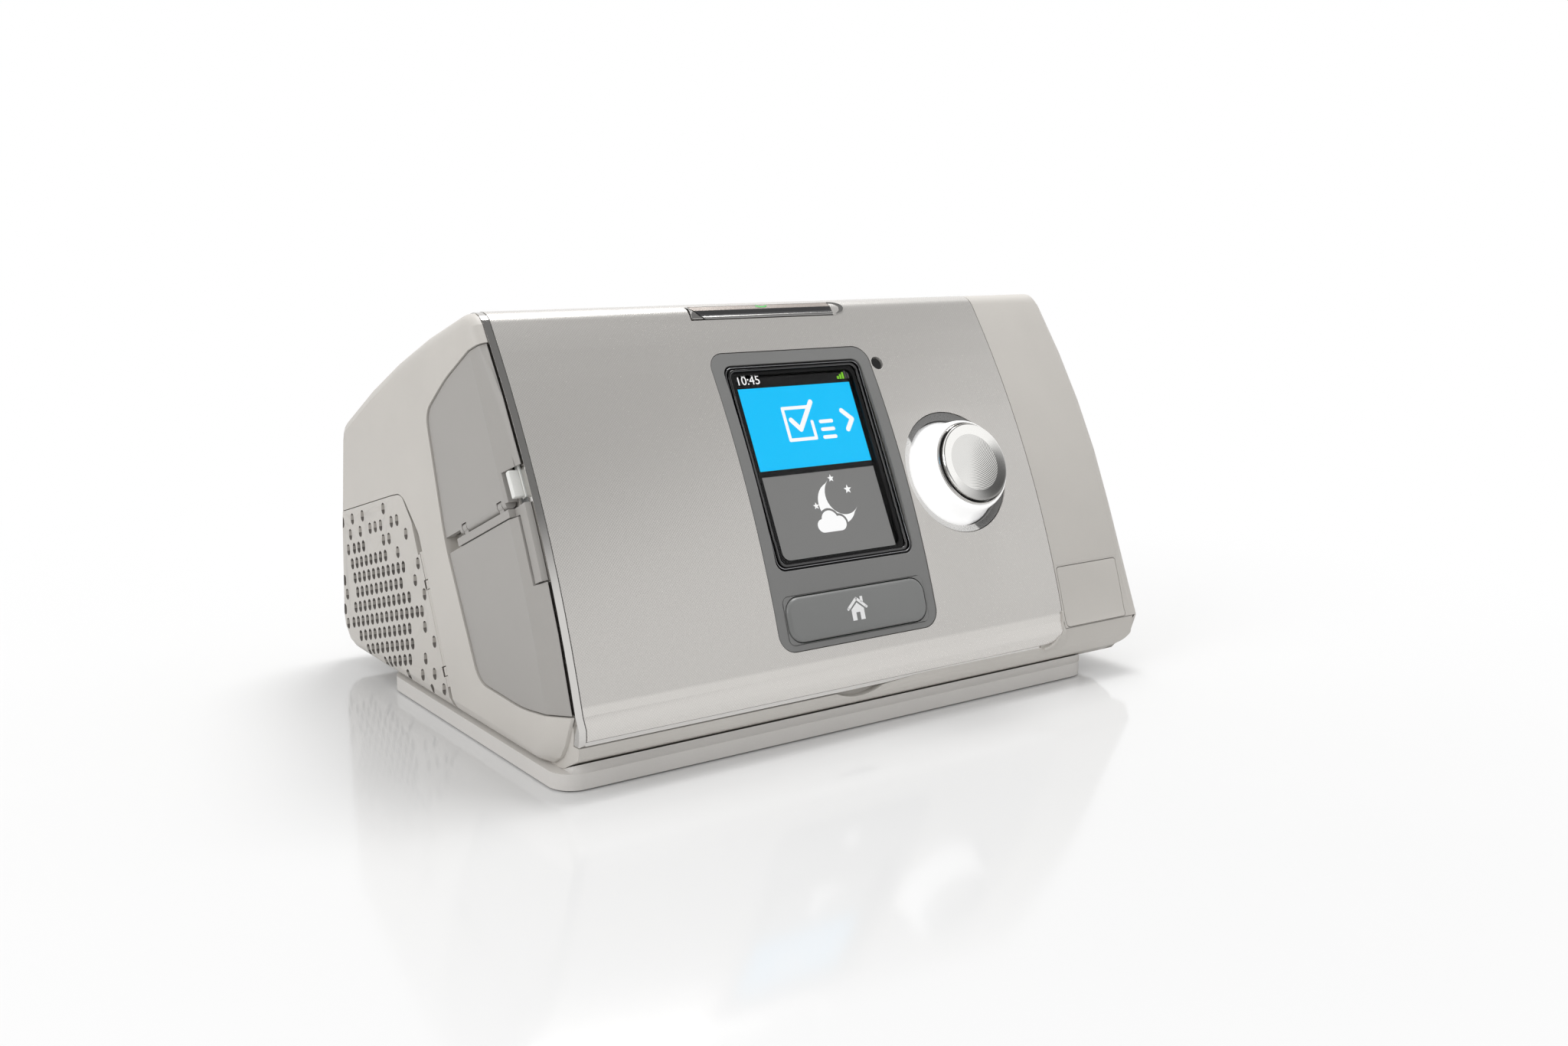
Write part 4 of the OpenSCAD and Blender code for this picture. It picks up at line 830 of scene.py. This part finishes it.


# The recess is polished on its lower left; beyond a straight edge its colour is darkened with painted shade.
well_silver = moulded("recess silver with painted shade", (222, 221, 219), 0.28, 0.3, 0.006, 0.0, 0.3)
EDGE_WAY = (0.864, 0.505, 0)
across_edge = well_silver.add(
    "VectorMath", {"operation": "DOT_PRODUCT"}, {0: dial_frame(well_silver), 1: EDGE_WAY}, "Value"
)
# Painted shade: past the edge the recess colour is taken down to about a quarter.
shaded = well_silver.ramp(across_edge * (1 / (40 * MM)) + 0.5, 0.336, 0.35)
speckled = well_silver.noise(0.3, 1.0)
polished = well_silver.mix(speckled, shade(well_silver.colour, 0.95), shade(well_silver.colour, 1.05))
painted_shade_tone = well_silver.mix(speckled, shade(well_silver.colour, 0.22), shade(well_silver.colour, 0.25))
well_silver.set("Base Color", well_silver.mix(shaded, polished, painted_shade_tone))
# The white skirt gives off a faint glow of its own: painted light that makes it whiter, though it holds no
# lamp.
glowing_skirt_white = moulded("white dial with painted glow", (254, 254, 254), 0.28, 0.4, 0.004, 0.4)
glowing_skirt_white.set("Emission Color", (1, 1, 1, 1))
glowing_skirt_white.set("Emission Strength", 0.35)
groove_dark = Finish("dark groove", (60, 60, 62), 0.3, 0.6)
groove_dark.set("Roughness", groove_dark.noise(4) * 0.1 + 0.25)
cap_metal = Finish("turned aluminium", (243, 242, 239), 0.3, 1.0)
in_dish = about_dial(cap_metal) < 8.7 * MM
# Painted shading on the cap: the ring is lighter towards the upper left and darker towards the lower right,
# and the dish is darker towards the upper left. It is fixed to the cap, so it turns with the dial.
PAINTED_SHADE_WAY = (0.5, -0.866, 0)
toward_painted_shade = cap_metal.add(
    "VectorMath", {"operation": "DOT_PRODUCT"}, {0: dial_frame(cap_metal), 1: PAINTED_SHADE_WAY}, "Value"
)
painted_shading_fall = cap_metal.ramp(toward_painted_shade * (1 / (30 * MM)) + 0.5, 0.45, 0.85)
ring_painted_shading = cap_metal.mix(painted_shading_fall, shade(cap_metal.colour, 1.05), shade(cap_metal.colour, 0.3))
dish_painted_shading = cap_metal.mix(painted_shading_fall, shade(cap_metal.colour, 0.84), shade(cap_metal.colour, 1.0))
cap_metal.set("Base Color", cap_metal.mix(in_dish, ring_painted_shading, dish_painted_shading))
radius = about_dial(cap_metal, -1.0, 9.0)
lines = radius.math("SINE", radius * (2 * pi / (0.5 * MM))) * in_dish
fine = cap_metal.noise(0.12, 0.0)
cap_metal.set("Roughness", fine * 0.1 + cap_metal.noise(7) * 0.04 + 0.1)
cap_metal.bump(lines * 0.7 + fine * 0.3, 0.6, 0.025)

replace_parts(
    turned(
        "dial_recess",
        (
            (8, -6.35), (18.8, -6.35), (18.84, -0.9), (18.74, -0.74), (18.5, -0.74), (16.8, -1.1),
            (16.7, -1.3), (16.7, -4.86), (8, -4.88),
        ),
        "casing", well_silver,
    ),
    "dial_well",
)
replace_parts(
    turned(
        "dial_body",
        (
            (2.52, -1.15), (10, -1.15), (13.4, -3.36), (16.0, -3.36), (16.32, -3.1), (16.3, -2.5),
            (16.02, -2.0), (15.4, -0.6), (14.95, 0.9), (14.5, 2.8), (14.15, 4.6), (13.9, 6.0), (13.6, 6.9),
            (13.2, 7.3), (12.9, 7.3), (12.75, 7.0), (12.7, 6.36), (2.52, 6.36),
        ),
        "dial", glowing_skirt_white,
    ),
    "dial_skirt",
)
turned(
    "dial_ring", ((12.62, 6.9), (12.78, 7.6), (12.7, 7.95), (12.5, 8.05), (12.3, 7.9), (12.3, 6.9)),
    "dial", chrome,
)
turned("dial_groove", ((12.02, 6.6), (12.3, 6.6), (12.3, 7.5), (12.02, 7.5)), "dial", groove_dark)
DISH_RADIUS = 8.7
DISH_FLOOR = 7.9
DISH_DEPTH = 0.88
CAP_EDGE = [
    (0, 6.38), (11.6, 6.38), (11.95, 6.7), (11.95, 8.9), (11.8, 9.18), (11.5, 9.28), (11.2, 9.25),
    (9.0, 8.84), (8.75, 8.79),
]
DISH = [(DISH_RADIUS * i / 12, DISH_FLOOR + DISH_DEPTH * (i / 12) ** 2) for i in range(12, -1, -1)]
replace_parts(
    turned(
        "dial_cap_turned", CAP_EDGE + DISH, "dial", cap_metal, closed=False, angle=24,
    ),
    "dial_cap",
)


# Side module.
# The cover on the right comes off for a humidifier; it has a bare plate near its foot and a rounded end.
dressed("side_cover", "side_module", shell, 0.3, rule=module_shape)
dressed("side_end_cap", "side_module", shell, 0.5, 24, module_shape)
dressed("model_plate", "side_module", shell, 0.15, rule=module_shape)


# Rear.
# The outlet tube stands in a square recess, and a clip folds down over the plug of the power inlet.
dark_tube = moulded("grey tube", (112, 112, 113), 0.4)
black_plastic = moulded("black plastic", (34, 34, 35), 0.45)
dressed("outlet_elbow", "casing", dark_tube, 0.3)
dressed("power_inlet", "casing", black_plastic, 0.2)
dressed("inlet_clip", "cord_clip", key_grey, 0.3)
plain(rubber, "outlet_seal", "bay_seals", "blower_suspension")


# Inside.
# The board, blower, ducts and switches are seen only where a cover is off, and keep their CAD shapes.
steel = Finish("zinc plated steel", (190, 192, 194), 0.35, 1.0)
steel.set("Roughness", steel.noise(2) * 0.2 + 0.25)
board_green = moulded("green board", (32, 92, 56), 0.4, 0.8, 0.01)
impeller_white = moulded("white impeller", (225, 226, 228), 0.35)
inner_grey = moulded("dark grey inner plastic", (92, 92, 94), 0.5)
filter_fibre = Finish("filter fibre", (236, 236, 230), 0.9)
fibre = filter_fibre.noise(0.5, 4.0)
filter_fibre.set("Base Color", filter_fibre.mix(fibre, shade(filter_fibre.colour, 0.8), filter_fibre.colour))
filter_fibre.bump(fibre, 0.8, 0.3)

plain(steel, "board_screws", "housing_screws", "blower_shaft", "dial_plunger", "dial_shaft", "card_reader")
plain(board_green, "main_board", "flow_sensor")
plain(impeller_white, "impeller")
plain(black_plastic, "dial_encoder", "home_switch", "start_switch", "adapter_socket", "blower_motor")
plain(inner_grey, "filter_frame", "inlet_muffler", "lower_volute", "upper_volute")
plain(inner_grey, "bay_bulkhead", "bypass_duct", "outlet_duct")
plain(filter_fibre, "air_filter")


# Studio.
# A white floor runs out to a white background, under soft lamps and a slightly darker ceiling.
def area_light(name, place, target, size, power):
    lamp = bpy.data.lights.new(name, "AREA")
    lamp.shape = "RECTANGLE"
    lamp.size, lamp.size_y = size
    lamp.energy = power
    holder = bpy.data.objects.new(name, lamp)
    place = Vector(place)
    holder.matrix_world = (
        Matrix.Translation(place) @ (Vector(target) - place).to_track_quat("-Z", "Y").to_matrix().to_4x4()
    )
    bpy.context.scene.collection.objects.link(holder)


area_light("left", (-1.1, -0.15, 0.6), (0, 0, 0.05), (0.7, 0.5), 3.5)
area_light("top", (0.3, 0.25, 1.1), (0, 0, 0.05), (0.5, 0.5), 7.6)

SOFT_LIGHT = 0.7
DARK_CEILING = 0.25
CEILING_SIDE = (-0.606, 0.146, 0.782)
world = bpy.data.worlds.new("studio")
bpy.context.scene.world = world
world.use_nodes = True
sky = world.node_tree
background = sky.nodes["Background"]
background.inputs["Color"].default_value = (1, 1, 1, 1)
path = sky.nodes.new("ShaderNodeLightPath")
direction = sky.nodes.new("ShaderNodeTexCoord")
height = sky.nodes.new("ShaderNodeVectorMath")
height.operation = "DOT_PRODUCT"
sky.links.new(direction.outputs["Generated"], height.inputs[0])
height.inputs[1].default_value = CEILING_SIDE
ceiling = sky.nodes.new("ShaderNodeMapRange")
ceiling.interpolation_type = "SMOOTHSTEP"
for key, value in (("From Min", -0.07), ("From Max", 0.09), ("To Min", 1.0), ("To Max", DARK_CEILING)):
    ceiling.inputs[key].default_value = value
sky.links.new(height.outputs["Value"], ceiling.inputs["Value"])
# Only the half of the room before the object has the dark ceiling; the rest stays white.
parts = sky.nodes.new("ShaderNodeSeparateXYZ")
sky.links.new(direction.outputs["Generated"], parts.inputs[0])
behind = sky.nodes.new("ShaderNodeMapRange")
for key, value in (("From Min", 0.0), ("From Max", 0.2)):
    behind.inputs[key].default_value = value
sky.links.new(parts.outputs["Y"], behind.inputs["Value"])
brighter = sky.nodes.new("ShaderNodeMath")
brighter.operation = "MAXIMUM"
sky.links.new(ceiling.outputs[0], brighter.inputs[0])
sky.links.new(behind.outputs[0], brighter.inputs[1])
level = brighter.outputs[0]
for rays, amount in (("Is Diffuse Ray", SOFT_LIGHT), ("Is Camera Ray", 1.0), ("Is Transmission Ray", 1.0)):
    choice = sky.nodes.new("ShaderNodeMix")
    sky.links.new(path.outputs[rays], choice.inputs["Factor"])
    sky.links.new(level, choice.inputs["A"])
    choice.inputs["B"].default_value = amount
    level = choice.outputs[0]
sky.links.new(level, background.inputs["Strength"])

FLOOR_Z = -0.05
FLOOR_HALF = 4000
FADE = (0.15, 0.38)
floor_form = bmesh.new()
bmesh.ops.create_grid(floor_form, x_segments=1, y_segments=1, size=FLOOR_HALF * MM)
bmesh.ops.translate(floor_form, vec=(0, 0, FLOOR_Z * MM), verts=floor_form.verts)
floor_mesh = bpy.data.meshes.new("floor")
floor_form.to_mesh(floor_mesh)
floor_form.free()
floor = bpy.data.objects.new("floor", floor_mesh)
bpy.context.scene.collection.objects.link(floor)
floor_white = Finish("white floor", (227, 227, 227), 0.1)
floor_mesh.materials.append(floor_white.material)
far = floor_white.add("VectorMath", {"operation": "LENGTH"}, {0: floor_white.place}, "Value")
fade = floor_white.add(
    "MapRange", {"interpolation_type": "SMOOTHSTEP"}, {"Value": far, "From Min": FADE[0], "From Max": FADE[1]}
)
ray = floor_white.add("LightPath", {}, {}, "Is Camera Ray")
white_out = floor_white.add("Emission", {}, {"Color": (1, 1, 1, 1), "Strength": 1.0})
lit_floor = Value(floor_white, floor_white.shader.outputs[0])
floor_mix = floor_white.add("MixShader", {}, {0: fade * ray, 1: lit_floor, 2: white_out})
floor_out = floor_white.tree.nodes["Material Output"]
floor_white.put(floor_out.inputs["Surface"], floor_mix)
